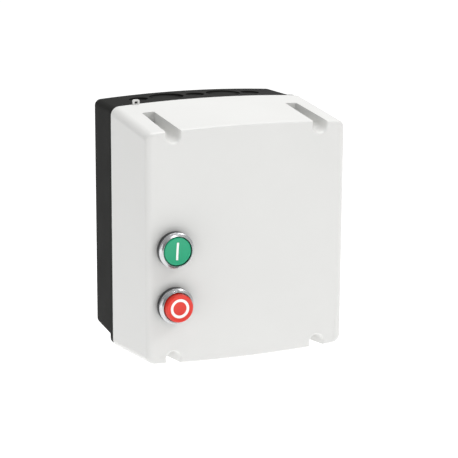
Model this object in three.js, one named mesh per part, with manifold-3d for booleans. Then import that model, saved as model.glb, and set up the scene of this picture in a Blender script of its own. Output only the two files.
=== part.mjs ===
// Enclosed motor starter: a crowned light-grey cover with two push buttons on a black wall base,
// with a contactor, a start contact block and an overload relay on a rail inside.
//
// Everything is drawn in the panel frame, in millimetres: x to the right seen from the front,
// y up, z out from the wall. The last line turns that frame so that +Z is up and the front
// looks along -Y. The origin is the middle of the wall face.
import * as THREE from "three";
import { mergeVertices } from "three/addons/utils/BufferGeometryUtils.js";
import Module from "manifold-3d";

const wasm = await Module();
wasm.setup();

// ---------------------------------------------------------------- driving dimensions

const GAP = 0.3; // between pieces that rest on each other
const CASE_WIDTH = 176.5;
const COVER_REAR_HEIGHT = 208.5; // at the sides, without the crown
const COVER_FRONT_HEIGHT = 191;
const CROWN = 3.3; // rise of the arched top and bottom edges
const CORNER = 7;
const BASE_CORNER = 5.8;
const COVER_REAR = 55.5;
const COVER_FRONT = 139.5;
const COVER_WALL = 3;
const FRONT_EDGE = 4.2; // rounding of the cover's front edge

const BASE_WIDTH = 167; // on the wall
const BASE_HEIGHT = 200;
const BASE_RISE = 2.1; // the wall face sits this much higher than the cover's middle
const FLANGE_RISE = 1.35; // the same, where the walls meet the flange
const SIDE_FLARE = 2; // how far each side leans out on the way to the flange
const END_FLARE = 1.25; // the same for the top and bottom walls
const BASE_FLOOR = 4;
const FLANGE_REAR = 46;
const FLANGE_FRONT = COVER_REAR - 2;
const FLANGE_INSET = 0.9;
const LIP_FRONT = 60;
const CAVITY_WIDTH = 162;
const CAVITY_HEIGHT = 192.4;
const CAVITY_RISE = 1.3;

const SCREW_X = 65; // cover screws
const SCREW_Y = 93;
const COLUMN_RADIUS = 5.2; // around each cover screw
const COLUMN_SPLIT = LIP_FRONT - 3; // where the base's column meets the cover's
const COLUMN_CLEARANCE = 5.8;
const SCREW_TIP = 44;
const PILOT_RADIUS = 2.3; // hole that a fixing screw's shank clears
const SHANK_RADIUS = 1.95;
const CHANNEL_RADIUS = 6;
const CHANNEL_END = 81.5;
const CHANNEL_WALL = 2.4;

const KEYHOLE = { x: 50, y: 84, slot: 5.5, drop: 4, radius: 4.8 };

const EYELET = { x: -66.2, top: COVER_REAR_HEIGHT / 2 + 5.4, width: 6, thickness: 2, hole: 1.2 };

const KNOCKOUT_Z = 24;
const RECESS_DEPTH = 1.5;
const MEMBRANE = 1.6; // wall left in a knockout
const LARGE_KNOCKOUT = { xs: [-26.5, 26.5], rim: 15, disc: 12.75 };
const SMALL_KNOCKOUT = { xs: [-52, 0, 52], rim: 8.2, disc: 6.2 };

const BUTTON_X = -65.45;
const START_Y = 0.35;
const STOP_Y = -46.2;
const BUTTON_HOLE = 11.25;
const BEZEL_RADIUS = 15.05;
const BEZEL_FRONT = COVER_FRONT + 10.85;
const BEZEL_CONE = 2.9; // how far the bezel tapers behind its front
const CAP_RADIUS = 11.7;
const BUTTON_TRAVEL = 5.5;
const START_CAP_FRONT = COVER_FRONT + 10.6;
const STOP_CAP_FRONT = COVER_FRONT + 15.6;
const NECK_REAR = COVER_FRONT - 18;
const CUP_FLOOR = COVER_FRONT + 2.1;
const SHOULDER = COVER_FRONT - 2; // where the stem widens in front of its spring
const STEM_REAR = 103.3;
const POCKET_DEPTH = 0.8; // of the recess that holds a mark
const MARK_THICKNESS = 0.5;
const BAR_MARK = { width: 1.9, height: 14.5 };
const RING_MARK = { inner: 5.7, outer: 8 };
const POCKET_MARGIN = 0.3;
const MARK_TILT = THREE.MathUtils.degToRad(-3.5);

const RAIL_Y = 31.5;
const RAIL_REAR = 7.3;
const RAIL_FRONT = RAIL_REAR + 7.5;
const RAIL_SCREW_XS = [-72, 67];
const RELAY_PAD = { x: -45, y: -44, width: 44, height: 30 };
const EARTH = { x: 35, y: -72, width: 36, height: 9, rear: 12, front: 20 };
const EARTH_SCREW_XS = [22, 48];
const EARTH_BORE_XS = [28.5, 35, 41.5];
const DEVICE_REAR = 10;
const CONTACTOR = { x: -37, y: RAIL_Y, width: 45, height: 81, split: 50, shoulder: 80, front: 96 };
const POLE_PITCH = 13.5;
const TERMINAL_OFFSET = 33; // from the contactor's middle to each terminal screw
const STARTER_BLOCK = { left: -75, right: -60, bottom: -9, top: 56, front: 96 };
const RELAY = { left: -75, right: -14.5, bottom: -76, top: -12.5, front: 95 };
const RELAY_WALL = 3;
const TERMINAL_STEP = 20; // how far the relay's terminal row stands behind its front

// ---------------------------------------------------------------- finishes

const finish = (color, roughness, metalness = 0) => ({ color, roughness, metalness });
const LIGHT_GREY_PLASTIC = finish(0xe4e4e1, 0.45);
const BLACK_PLASTIC = finish(0x333435, 0.5);
const RUBBER = finish(0x1c1c1d, 0.8);
const CHROME = finish(0xd9dadc, 0.12, 1);
const GREEN_PLASTIC = finish(0x23a883, 0.35);
const RED_PLASTIC = finish(0xe0402d, 0.35);
const WHITE_PLASTIC = finish(0xf4f4f2, 0.4);
const ZINC_STEEL = finish(0xb9bcbd, 0.35, 1);
const COPPER = finish(0xb87345, 0.4, 1);
const BRASS = finish(0xc8a555, 0.35, 1);
const DEVICE_GREY = finish(0x55585b, 0.55);
const DEVICE_LIGHT = finish(0xc9cac7, 0.5);
const BOBBIN_PLASTIC = finish(0x2b2d30, 0.6);
const LAMINATED_IRON = finish(0x6e7073, 0.45, 1);
const BLUE_PLASTIC = finish(0x2d5f9e, 0.4);

// ---------------------------------------------------------------- solids

/** A manifold solid from a closed three.js geometry. */
function solid(geometry) {
  const bare = geometry.clone();
  bare.deleteAttribute("normal");
  bare.deleteAttribute("uv");
  const merged = mergeVertices(bare, 1e-4);
  const index = merged.index.array;
  const kept = [];
  for (let i = 0; i < index.length; i += 3) {
    const [a, b, c] = [index[i], index[i + 1], index[i + 2]];
    if (a !== b && b !== c && c !== a) kept.push(a, b, c);
  }
  const mesh = new wasm.Mesh({
    numProp: 3,
    vertProperties: new Float32Array(merged.attributes.position.array),
    triVerts: new Uint32Array(kept),
  });
  return new wasm.Manifold(mesh);
}

const cut = (body, ...tools) => tools.reduce((left, tool) => left.subtract(tool), body);
const join = (body, ...others) => others.reduce((sum, other) => sum.add(other), body);

/** A box between two corners. */
function block(x0, x1, y0, y1, z0, z1) {
  const geometry = new THREE.BoxGeometry(x1 - x0, y1 - y0, z1 - z0);
  return solid(geometry.translate((x0 + x1) / 2, (y0 + y1) / 2, (z0 + z1) / 2));
}

/** A box given by its middle and size in x and y. */
const slab = (x, y, width, height, z0, z1) =>
  block(x - width / 2, x + width / 2, y - height / 2, y + height / 2, z0, z1);

/** A round bar along z. */
function rod(x, y, radius, z0, z1, sides = 16) {
  const geometry = new THREE.CylinderGeometry(radius, radius, z1 - z0, sides);
  return solid(geometry.rotateX(Math.PI / 2).translate(x, y, (z0 + z1) / 2));
}

/** A round bar along y. */
function upright(x, z, radius, y0, y1, sides = 20) {
  const geometry = new THREE.CylinderGeometry(radius, radius, y1 - y0, sides);
  return solid(geometry.translate(x, (y0 + y1) / 2, z));
}

/** A turned piece about a line along z, from [radius, z] pairs. */
function turned(x, y, pairs, sides = 24) {
  const profile = pairs.map(([radius, z]) => new THREE.Vector2(radius, z));
  return solid(new THREE.LatheGeometry(profile, sides).rotateX(Math.PI / 2).translate(x, y, 0));
}

/** A closed ring section for turned(): the first pair again at the end. */
const ring = (inner, outer, z0, z1) => [[inner, z0], [outer, z0], [outer, z1], [inner, z1], [inner, z0]];

/** A rectangle with arched top and bottom edges and rounded corners. */
function crownedOutline(width, height, corner) {
  const x = width / 2;
  const y = height / 2;
  const outline = new THREE.Shape();
  outline.moveTo(x, -y + corner);
  outline.lineTo(x, y - corner);
  outline.quadraticCurveTo(x, y, x - corner, y);
  outline.quadraticCurveTo(0, y + 2 * CROWN, -x + corner, y);
  outline.quadraticCurveTo(-x, y, -x, y - corner);
  outline.lineTo(-x, -y + corner);
  outline.quadraticCurveTo(-x, -y, -x + corner, -y);
  outline.quadraticCurveTo(0, -y - 2 * CROWN, x - corner, -y);
  outline.quadraticCurveTo(x, -y, x, -y + corner);
  return outline;
}

/** An outline pulled out along z, with a rounded edge of the given radius at both ends. */
function prism(outline, z0, z1, edge = 0) {
  const geometry = new THREE.ExtrudeGeometry(outline, {
    depth: z1 - z0 - 2 * edge,
    bevelEnabled: edge > 0,
    bevelThickness: edge,
    bevelSize: edge,
    bevelOffset: -edge,
    bevelSegments: 3,
    curveSegments: 6,
  });
  return geometry.translate(0, 0, z0 + edge);
}

/** Moves every point of a geometry by a rule on (x, y, z). */
function reshape(geometry, rule) {
  const points = geometry.attributes.position;
  for (let i = 0; i < points.count; i += 1) {
    points.setXYZ(i, ...rule(points.getX(i), points.getY(i), points.getZ(i)));
  }
  return geometry;
}

/** A coil spring about a line along z. */
class Coil extends THREE.Curve {
  constructor(x, y, radius, z0, z1, turns) {
    super();
    Object.assign(this, { x, y, radius, z0, z1, turns });
  }

  getPoint(t) {
    const angle = 2 * Math.PI * this.turns * t;
    const z = this.z0 + (this.z1 - this.z0) * t;
    return new THREE.Vector3(this.x + this.radius * Math.cos(angle), this.y + this.radius * Math.sin(angle), z);
  }
}

function spring(x, y, radius, wire, z0, z1, turns) {
  const section = new THREE.Shape().absarc(0, 0, wire / 2, 0, 2 * Math.PI);
  const path = new Coil(x, y, radius, z0 + wire / 2, z1 - wire / 2, turns);
  const steps = turns * 9;
  return solid(new THREE.ExtrudeGeometry(section, { steps, curveSegments: 3, extrudePath: path }));
}

// ---------------------------------------------------------------- assembly

const assembly = new THREE.Group();

/** Adds one named piece. */
function piece(name, body, { color, roughness, metalness }) {
  const { vertProperties, triVerts } = body.getMesh();
  const geometry = new THREE.BufferGeometry();
  geometry.setAttribute("position", new THREE.BufferAttribute(new Float32Array(vertProperties), 3));
  geometry.setIndex(new THREE.BufferAttribute(new Uint32Array(triVerts), 1));
  geometry.computeVertexNormals();
  const mesh = new THREE.Mesh(geometry, new THREE.MeshStandardMaterial({ color, roughness, metalness }));
  mesh.name = name;
  assembly.add(mesh);
}

const cornerSigns = [[-1, 1], [1, 1], [-1, -1], [1, -1]];
const cornerNames = ["top_left", "top_right", "bottom_left", "bottom_right"];

// ---------------------------------------------------------------- base

/** The cover's rear outline, drawn in by some millimetres at the sides and at the ends. */
const rimOutline = (sideInset, endInset, corner) =>
  crownedOutline(CASE_WIDTH - 2 * sideInset, COVER_REAR_HEIGHT - 2 * endInset, corner);

/** Height of the base's outer surface above (or below) the middle, at x, near the knockouts. */
function baseSurface(x, side) {
  const arch = CROWN * (1 - (x / (BASE_WIDTH / 2)) ** 2);
  const along = KNOCKOUT_Z / FLANGE_REAR;
  const rise = THREE.MathUtils.lerp(BASE_RISE, FLANGE_RISE, along);
  return side * (BASE_HEIGHT / 2 + arch + END_FLARE * along) + rise;
}

/** The round recess and the thinned wall behind it of one cable-entry knockout. */
function knockoutCuts(x, side, { rim, disc }) {
  const surface = baseSurface(x, side);
  const floor = surface - side * RECESS_DEPTH;
  const between = (from, to) => [Math.min(from, to), Math.max(from, to)];
  const recess = upright(x, KNOCKOUT_Z, rim, ...between(floor, surface + side * 4));
  const pocket = upright(x, KNOCKOUT_Z, disc, ...between(floor - side * MEMBRANE, floor - side * 12));
  return [recess, pocket];
}

function baseTray() {
  const flare = (x, y, z) => {
    const along = z / FLANGE_REAR;
    const rise = THREE.MathUtils.lerp(BASE_RISE, FLANGE_RISE, along);
    return [
      x * (1 + (2 * SIDE_FLARE * along) / BASE_WIDTH),
      y * (1 + (2 * END_FLARE * along) / BASE_HEIGHT) + rise,
      z,
    ];
  };
  const tray = solid(reshape(prism(crownedOutline(BASE_WIDTH, BASE_HEIGHT, BASE_CORNER), 0, FLANGE_REAR), flare));
  const flangeOutline = rimOutline(FLANGE_INSET, FLANGE_INSET, CORNER);
  const flange = solid(prism(flangeOutline, FLANGE_REAR - 0.01, FLANGE_FRONT));
  const lipOutline = rimOutline(COVER_WALL + 0.5, COVER_WALL + 1, CORNER - 2);
  const lip = solid(prism(lipOutline, FLANGE_FRONT - 1, LIP_FRONT));
  const cavityOutline = crownedOutline(CAVITY_WIDTH, CAVITY_HEIGHT, CORNER - 3);
  const cavity = solid(prism(cavityOutline, BASE_FLOOR, LIP_FRONT + 1).translate(0, CAVITY_RISE, 0));
  let body = cut(join(tray, flange, lip), cavity);

  for (const [sx, sy] of cornerSigns) {
    body = join(body, rod(sx * SCREW_X, sy * SCREW_Y, COLUMN_RADIUS, BASE_FLOOR - 1, COLUMN_SPLIT));
    body = cut(body, rod(sx * SCREW_X, sy * SCREW_Y, PILOT_RADIUS, LIP_FRONT - 20, LIP_FRONT));
    body = cut(body, rod(sx * SCREW_X, sy * SCREW_Y, COLUMN_CLEARANCE, COLUMN_SPLIT, LIP_FRONT + 1));
    const [x, y] = [sx * KEYHOLE.x, sy * KEYHOLE.y];
    body = cut(body, slab(x, y, KEYHOLE.slot, KEYHOLE.slot, -1, BASE_FLOOR + 1));
    body = cut(body, rod(x, y - KEYHOLE.drop, KEYHOLE.radius, -1, BASE_FLOOR + 1));
  }
  // pads under the rail, the relay and the earth bar
  const pads = [
    ...RAIL_SCREW_XS.map((x) => slab(x, RAIL_Y, 12, 20, BASE_FLOOR - 1, RAIL_REAR - GAP)),
    slab(RELAY_PAD.x, RELAY_PAD.y, RELAY_PAD.width, RELAY_PAD.height, BASE_FLOOR - 1, DEVICE_REAR - GAP),
    slab(EARTH.x, EARTH.y, EARTH.width + 4, EARTH.height + 3, BASE_FLOOR - 1, EARTH.rear),
  ];
  const pilots = [
    ...RAIL_SCREW_XS.map((x) => rod(x, RAIL_Y, PILOT_RADIUS, 1.5, RAIL_REAR)),
    ...EARTH_SCREW_XS.map((x) => rod(x, EARTH.y, PILOT_RADIUS, 3, EARTH.rear + 1)),
  ];
  body = cut(join(body, ...pads), ...pilots);

  for (const up of [1, -1]) {
    for (const size of [LARGE_KNOCKOUT, SMALL_KNOCKOUT]) {
      for (const x of size.xs) body = cut(body, ...knockoutCuts(x, up, size));
    }
  }
  return body;
}

piece("base_tray", baseTray(), BLACK_PLASTIC);

function gasket() {
  const inner = rimOutline(COVER_WALL + 0.15, COVER_WALL + 0.65, CORNER - 2);
  const body = solid(prism(rimOutline(1.2, 1.2, CORNER - 1), FLANGE_FRONT + GAP, COVER_REAR - GAP));
  return cut(body, solid(prism(inner, FLANGE_FRONT, COVER_REAR)));
}

piece("rim_gasket", gasket(), RUBBER);

// ---------------------------------------------------------------- cover

const coverScale = (z) =>
  1 - (1 - COVER_FRONT_HEIGHT / COVER_REAR_HEIGHT) * ((z - COVER_REAR) / (COVER_FRONT - COVER_REAR));
const leanIn = (x, y, z) => [x, y * coverScale(z), z];

/** A round channel open to the outside, for one cover screw. */
function channel(sx, sy, radius, z0, z1) {
  const outward = slab(sx * SCREW_X, sy * (SCREW_Y + 10), 2 * radius, 20, z0, z1);
  return join(rod(sx * SCREW_X, sy * SCREW_Y, radius, z0, z1), outward);
}

function coverShell() {
  const rearCut = COVER_REAR - 20;
  const full = solid(reshape(prism(rimOutline(0, 0, CORNER), rearCut, COVER_FRONT, FRONT_EDGE), leanIn));
  const outer = cut(full, block(-200, 200, -200, 200, rearCut - 1, COVER_REAR));
  const innerOutline = rimOutline(COVER_WALL, COVER_WALL, CORNER - 2);
  const inner = solid(reshape(prism(innerOutline, rearCut, COVER_FRONT - COVER_WALL, 2), leanIn));
  let body = cut(outer, inner);

  for (const [sx, sy] of cornerSigns) {
    const trough = channel(sx, sy, CHANNEL_RADIUS + CHANNEL_WALL, CHANNEL_END - COVER_WALL, COVER_FRONT + 1);
    body = join(body, trough.intersect(outer));
    body = join(body, rod(sx * SCREW_X, sy * SCREW_Y, COLUMN_RADIUS, COLUMN_SPLIT + GAP, CHANNEL_END - 1));
    body = cut(body, channel(sx, sy, CHANNEL_RADIUS, CHANNEL_END, COVER_FRONT + 2));
    body = cut(body, rod(sx * SCREW_X, sy * SCREW_Y, PILOT_RADIUS, COLUMN_SPLIT - 2, CHANNEL_END + 1));
  }
  for (const y of [START_Y, STOP_Y]) {
    body = cut(body, rod(BUTTON_X, y, BUTTON_HOLE, COVER_FRONT - 6, COVER_FRONT + 1, 32));
  }
  // eyelet for a lead seal on the rear rim
  const { x, top, width, thickness, hole } = EYELET;
  const eyelet = cut(
    slab(x, top - 3.5, width, 7, COVER_REAR, COVER_REAR + thickness),
    rod(x, top - 2.2, hole, COVER_REAR - 1, COVER_REAR + thickness + 1, 16),
  );
  return join(body, eyelet);
}

piece("cover_shell", coverShell(), LIGHT_GREY_PLASTIC);

cornerSigns.forEach(([sx, sy], i) => {
  const head = CHANNEL_END + GAP;
  const screw = cut(
    turned(sx * SCREW_X, sy * SCREW_Y, [
      [0, SCREW_TIP], [1.6, SCREW_TIP], [SHANK_RADIUS, SCREW_TIP + 1], [SHANK_RADIUS, head], [4, head],
      [4, head + 1.8], [3.2, head + 2.8], [0, head + 2.8],
    ], 16),
    slab(sx * SCREW_X, sy * SCREW_Y, 1.2, 9, head + 1.4, head + 4),
  );
  piece(`cover_screw_${cornerNames[i]}`, screw, ZINC_STEEL);
});

// ---------------------------------------------------------------- push buttons

/** Bezel, seal, lock nut, spring, stem and cap of one push button. */
function pushButton(name, y, capFront, capFinish, markPocket, mark) {
  const x = BUTTON_X;
  const face = COVER_FRONT;
  const capRear = CUP_FLOOR + GAP + BUTTON_TRAVEL;
  const bezel = turned(x, y, [
    [4.5, NECK_REAR], [10.9, NECK_REAR], [10.9, face + 1.1], [14.4, face + 1.1], [BEZEL_RADIUS, face + 1.8],
    [BEZEL_RADIUS, BEZEL_FRONT - BEZEL_CONE], [13, BEZEL_FRONT], [12.2, BEZEL_FRONT],
    [12.2, CUP_FLOOR], [8.3, CUP_FLOOR], [8.3, NECK_REAR + 2], [4.5, NECK_REAR + 2], [4.5, NECK_REAR],
  ], 36);
  piece(`${name}_bezel`, bezel, CHROME);
  piece(`${name}_seal`, turned(x, y, ring(11.4, 13.9, face + GAP, face + 1.1 - GAP)), RUBBER);

  const nutFront = face - COVER_WALL - GAP;
  const nut = cut(rod(x, y, 15.2, nutFront - 5, nutFront, 8), rod(x, y, 11.2, nutFront - 6, nutFront + 1));
  piece(`${name}_lock_nut`, nut, BLACK_PLASTIC);

  piece(`${name}_spring`, spring(x, y, 6.1, 1.2, NECK_REAR + 2 + GAP, SHOULDER - GAP, 6), ZINC_STEEL);
  const stem = turned(x, y, [
    [0, STEM_REAR], [3.6, STEM_REAR], [4, STEM_REAR + 0.6], [4, SHOULDER], [7.9, SHOULDER],
    [7.9, capRear - GAP], [0, capRear - GAP],
  ], 20);
  piece(`${name}_stem`, stem, DEVICE_GREY);

  const cap = turned(x, y, [
    [0, capRear], [CAP_RADIUS, capRear], [CAP_RADIUS, capFront - 0.9], [CAP_RADIUS - 0.3, capFront - 0.3],
    [CAP_RADIUS - 0.9, capFront], [0, capFront],
  ], 32);
  piece(`${name}_cap`, cut(cap, markPocket), capFinish);
  piece(`${name}_mark`, mark, WHITE_PLASTIC);
}

/** The upright stroke of the start button, leaning a little, larger by some margin for its pocket. */
function startBar(margin, z0, z1) {
  const geometry = new THREE.BoxGeometry(BAR_MARK.width + margin, BAR_MARK.height + margin, z1 - z0);
  return solid(geometry.rotateZ(MARK_TILT).translate(BUTTON_X, START_Y, (z0 + z1) / 2));
}

/** The ring of the stop button, with a margin for its pocket. */
const stopRing = (margin, z0, z1) =>
  turned(BUTTON_X, STOP_Y, ring(RING_MARK.inner - margin, RING_MARK.outer + margin, z0, z1));

pushButton(
  "start", START_Y, START_CAP_FRONT, GREEN_PLASTIC,
  startBar(2 * POCKET_MARGIN, START_CAP_FRONT - POCKET_DEPTH, START_CAP_FRONT + 1),
  startBar(0, START_CAP_FRONT - MARK_THICKNESS, START_CAP_FRONT),
);
pushButton(
  "stop", STOP_Y, STOP_CAP_FRONT, RED_PLASTIC,
  stopRing(POCKET_MARGIN, STOP_CAP_FRONT - POCKET_DEPTH, STOP_CAP_FRONT + 1),
  stopRing(0, STOP_CAP_FRONT - MARK_THICKNESS, STOP_CAP_FRONT),
);

// ---------------------------------------------------------------- rail and earth bar

function mountingRail() {
  const [left, right, web, half] = [-78, 74, 13.5, 17.5];
  const back = block(left, right, RAIL_Y - web, RAIL_Y + web, RAIL_REAR, RAIL_REAR + 1);
  const sides = [1, -1].flatMap((s) => {
    const [a, b, c] = [RAIL_Y + s * web, RAIL_Y + s * (web - 1), RAIL_Y + s * half];
    return [
      block(left, right, Math.min(a, b), Math.max(a, b), RAIL_REAR, RAIL_FRONT),
      block(left, right, Math.min(b, c), Math.max(b, c), RAIL_FRONT - 1, RAIL_FRONT),
    ];
  });
  const holes = RAIL_SCREW_XS.map((x) => rod(x, RAIL_Y, 2.5, RAIL_REAR - 1, RAIL_REAR + 2));
  return cut(join(back, ...sides), ...holes);
}

piece("din_rail", mountingRail(), ZINC_STEEL);

/** A cheese-head screw along z with a slot in its head. */
function slottedScrew(x, y, headRear, headRadius, headHeight, shankRadius, shankRear) {
  const blank = turned(x, y, [
    [0, shankRear], [shankRadius, shankRear], [shankRadius, headRear], [headRadius, headRear],
    [headRadius, headRear + headHeight], [0, headRear + headHeight],
  ], 14);
  return cut(blank, slab(x, y, 1, 2.5 * headRadius, headRear + headHeight - 1, headRear + headHeight + 1));
}

const sideNames = ["left", "right"];
RAIL_SCREW_XS.forEach((x, i) => {
  const screw = slottedScrew(x, RAIL_Y, RAIL_REAR + 1 + GAP, 4, 2.4, SHANK_RADIUS, 2);
  piece(`rail_screw_${sideNames[i]}`, screw, ZINC_STEEL);
});

function earthBar() {
  const { x: middle, y, width, height, rear, front } = EARTH;
  const bores = EARTH_BORE_XS.map((x) => upright(x, (rear + front) / 2, 2.1, y - height, y + height, 16));
  const pilots = EARTH_SCREW_XS.map((x) => rod(x, y, PILOT_RADIUS, rear - 1, front + 1));
  return cut(slab(middle, y, width, height, rear + GAP, front), ...pilots, ...bores);
}

piece("earth_bar", earthBar(), BRASS);
EARTH_SCREW_XS.forEach((x, i) => {
  const screw = slottedScrew(x, EARTH.y, EARTH.front + GAP, 3.8, 2.4, SHANK_RADIUS, BASE_FLOOR);
  piece(`earth_screw_${sideNames[i]}`, screw, ZINC_STEEL);
});

// ---------------------------------------------------------------- contactor

const railChannel = block(-100, 100, RAIL_Y - 18.2, RAIL_Y + 18.2, DEVICE_REAR - 4, RAIL_FRONT + GAP);
const poles = [-1, 0, 1].map((i) => CONTACTOR.x + i * POLE_PITCH);
const CHAMBER_WIDTH = 39;
const COIL = { rear: 26, front: 38, width: 30, height: 40 };
const CONTACT_Z = 62; // rear of the fixed contact strips

function contactorPieces() {
  const { x, y, width, height, split, shoulder, front } = CONTACTOR;
  const lower = cut(
    slab(x, y, width, height, DEVICE_REAR, split),
    slab(x, y, CHAMBER_WIDTH, 60, 18.2, split + 1),
    railChannel,
  );
  piece("contactor_lower_housing", lower, DEVICE_GREY);

  let upper = join(
    slab(x, y, width, height, split + GAP, shoulder),
    slab(x, y, width, 42, shoulder - 1, front),
  );
  upper = cut(
    upper,
    slab(x, y, CHAMBER_WIDTH, 60, split - 1, 58),
    slab(x, y, CHAMBER_WIDTH, 30, 57, 84),
    slab(x, y, 9, 9, 83, front + 1),
  );
  for (const px of poles) {
    upper = cut(upper, slab(px, y, 9, height + 2, CONTACT_Z - 2.6, CONTACT_Z + 6));
    for (const s of [1, -1]) {
      const ty = y + s * TERMINAL_OFFSET;
      upper = cut(upper, rod(px, ty, 4.2, CONTACT_Z, shoulder + 1));
      upper = cut(upper, rod(px, ty, PILOT_RADIUS, CONTACT_Z - 7, CONTACT_Z, 16));
    }
  }
  piece("contactor_upper_housing", upper, DEVICE_LIGHT);

  // magnet: E-shaped core behind, E-shaped armature in front
  const legs = (z0, z1) => [-24.5, 0, 24.5].map((dy) => slab(x, y + dy, 16, dy ? 5.5 : 11, z0, z1));
  piece("magnet_core", join(slab(x, y, 16, 54.5, 18.6, 24.5), ...legs(24, 40)), LAMINATED_IRON);
  piece("magnet_armature", join(slab(x, y, 16, 54.5, 50.4, 56), ...legs(46, 51)), LAMINATED_IRON);

  const well = slab(x, y, 17, 12, COIL.rear - 1, COIL.front + 1);
  const bobbin = cut(
    join(
      slab(x, y, COIL.width, COIL.height, COIL.rear, COIL.rear + 1.2),
      slab(x, y, COIL.width, COIL.height, COIL.front - 1.2, COIL.front),
      slab(x, y, 20, 15, COIL.rear, COIL.front),
    ),
    well,
  );
  piece("coil_bobbin", bobbin, BOBBIN_PLASTIC);
  const winding = cut(
    slab(x, y, 28.5, 37, COIL.rear + 1.5, COIL.front - 1.5),
    slab(x, y, 20.6, 15.6, COIL.rear, COIL.front),
  );
  piece("coil_winding", winding, COPPER);
  piece("armature_spring", spring(x, y, 12.2, 1.1, COIL.front + GAP, 50.1, 3), ZINC_STEEL);

  // contact carrier with a window for each bridge and an indicator nose in front
  let carrier = join(slab(x, y, 37, 9, 56.3, 77), slab(x, y, 8, 8, 76, front - 0.5));
  for (const px of poles) carrier = cut(carrier, slab(px, y, 8.6, 12, 69, 74.5));
  piece("contact_carrier", carrier, BOBBIN_PLASTIC);

  poles.forEach((px, i) => {
    const pads = [1, -1].map((s) => slab(px, y + s * 12, 5, 3.5, 69.6, 70.8));
    piece(`moving_bridge_${i + 1}`, join(slab(px, y, 7, 28, 70.5, 72), ...pads), COPPER);
    for (const [side, s] of [["line", 1], ["load", -1]]) {
      const strip = slab(px, y + s * 25, 7.6, 29, CONTACT_Z, CONTACT_Z + 1.5);
      const pad = slab(px, y + s * 12, 5, 3, CONTACT_Z + 1.4, CONTACT_Z + 1.8);
      const ty = y + s * TERMINAL_OFFSET;
      const contact = cut(join(strip, pad), rod(px, ty, PILOT_RADIUS, CONTACT_Z - 2, CONTACT_Z + 4, 16));
      piece(`${side}_contact_${i + 1}`, contact, COPPER);
      const clamp = slottedScrew(px, ty, CONTACT_Z + 1.5 + GAP, 3.7, 2.6, 1.9, 56);
      piece(`${side}_screw_${i + 1}`, clamp, ZINC_STEEL);
    }
  });
}

contactorPieces();

// ---------------------------------------------------------------- start contact block

const PLUNGER = { radius: 4, rear: 86, front: STEM_REAR - GAP };

/** The pocket that a plunger slides in. */
const plungerPocket = (y) =>
  rod(BUTTON_X, y, PLUNGER.radius + GAP, PLUNGER.rear - BUTTON_TRAVEL - 0.5, 100, 20);

const plunger = (y) => turned(BUTTON_X, y, [
  [0, PLUNGER.rear], [PLUNGER.radius, PLUNGER.rear], [PLUNGER.radius, PLUNGER.front - 0.8],
  [PLUNGER.radius - 0.8, PLUNGER.front], [0, PLUNGER.front],
], 18);

function startContactBlock() {
  const { left, right, bottom, top, front } = STARTER_BLOCK;
  return cut(block(left, right, bottom, top, DEVICE_REAR, front), railChannel, plungerPocket(START_Y));
}

piece("start_contact_block", startContactBlock(), DEVICE_GREY);
piece("start_plunger", plunger(START_Y), BOBBIN_PLASTIC);

// ---------------------------------------------------------------- overload relay

const DIAL = { x: -31, y: -30, radius: 6.5 };
const TEST = { x: -31, y: -52, radius: 2.5, travel: 2.5 };

function relayPieces() {
  const stepFront = RELAY.front - TERMINAL_STEP;
  let housing = join(
    block(RELAY.left, RELAY.right, RELAY.bottom, RELAY.top, DEVICE_REAR, stepFront),
    block(RELAY.left, RELAY.right, RELAY.bottom + 14, RELAY.top, stepFront - 1, RELAY.front),
  );
  const hollow = (inset, z0, z1) =>
    block(RELAY.left + inset, RELAY.right - inset, RELAY.bottom + inset, RELAY.top - inset, z0, z1);
  housing = cut(
    housing,
    plungerPocket(STOP_Y),
    rod(DIAL.x, DIAL.y, DIAL.radius + 0.4, RELAY.front - 3.5, RELAY.front + 1),
    rod(TEST.x, TEST.y, TEST.radius + GAP, RELAY.front - 5 - TEST.travel - 0.5, RELAY.front + 1, 20),
    hollow(RELAY_WALL, DEVICE_REAR - 1, CONTACT_Z - 7),
  );
  for (const px of poles) {
    housing = cut(housing, slab(px, RELAY.top, 7.2, 8, CONTACT_Z - 2.6, CONTACT_Z));
    housing = cut(housing, rod(px, RELAY.bottom + 7, 4.2, 66, stepFront + 1, 20));
  }
  piece("relay_housing", housing, DEVICE_GREY);
  piece("relay_back_plate", hollow(RELAY_WALL + GAP, DEVICE_REAR, DEVICE_REAR + 3), DEVICE_GREY);

  poles.forEach((px, i) => {
    const length = 11.5;
    const prong = slab(px, RELAY.top - 3.6 + length / 2, 6, length, CONTACT_Z - 2.2, CONTACT_Z - GAP);
    piece(`relay_prong_${i + 1}`, prong, COPPER);
  });

  const dialRear = RELAY.front - 3.2;
  const dial = cut(
    turned(DIAL.x, DIAL.y, [
      [0, dialRear], [DIAL.radius, dialRear], [DIAL.radius, RELAY.front + 1],
      [DIAL.radius - 1, RELAY.front + 1.6], [0, RELAY.front + 1.6],
    ], 28),
    slab(DIAL.x, DIAL.y, 1.4, 10, RELAY.front + 0.4, RELAY.front + 3),
  );
  piece("current_dial", dial, WHITE_PLASTIC);
  piece("relay_reset_plunger", plunger(STOP_Y), BLUE_PLASTIC);
  const testButton = rod(TEST.x, TEST.y, TEST.radius, RELAY.front - 5, RELAY.front + 3, 20);
  piece("relay_test_button", testButton, RED_PLASTIC);
}

relayPieces();

assembly.rotation.x = Math.PI / 2;

export default assembly;
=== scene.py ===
"""Looks of an enclosed motor starter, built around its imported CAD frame.

The case is a crowned light-grey cover on a near-black base, with two chromed push buttons on its front.
Inside, on a rail, are a contactor, a start contact block and an overload relay. Sizes are named in
millimetres and the meshes are in metres: +X runs to the right seen from the front, the front looks
along -Y, and the wall is at Y = 0.
"""

import logging
import math
from dataclasses import dataclass
from enum import Enum
from typing import Callable, Sequence

import bmesh
import bpy
from bmesh.types import BMEdge, BMesh, BMVert
from mathutils import Matrix, Vector


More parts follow.
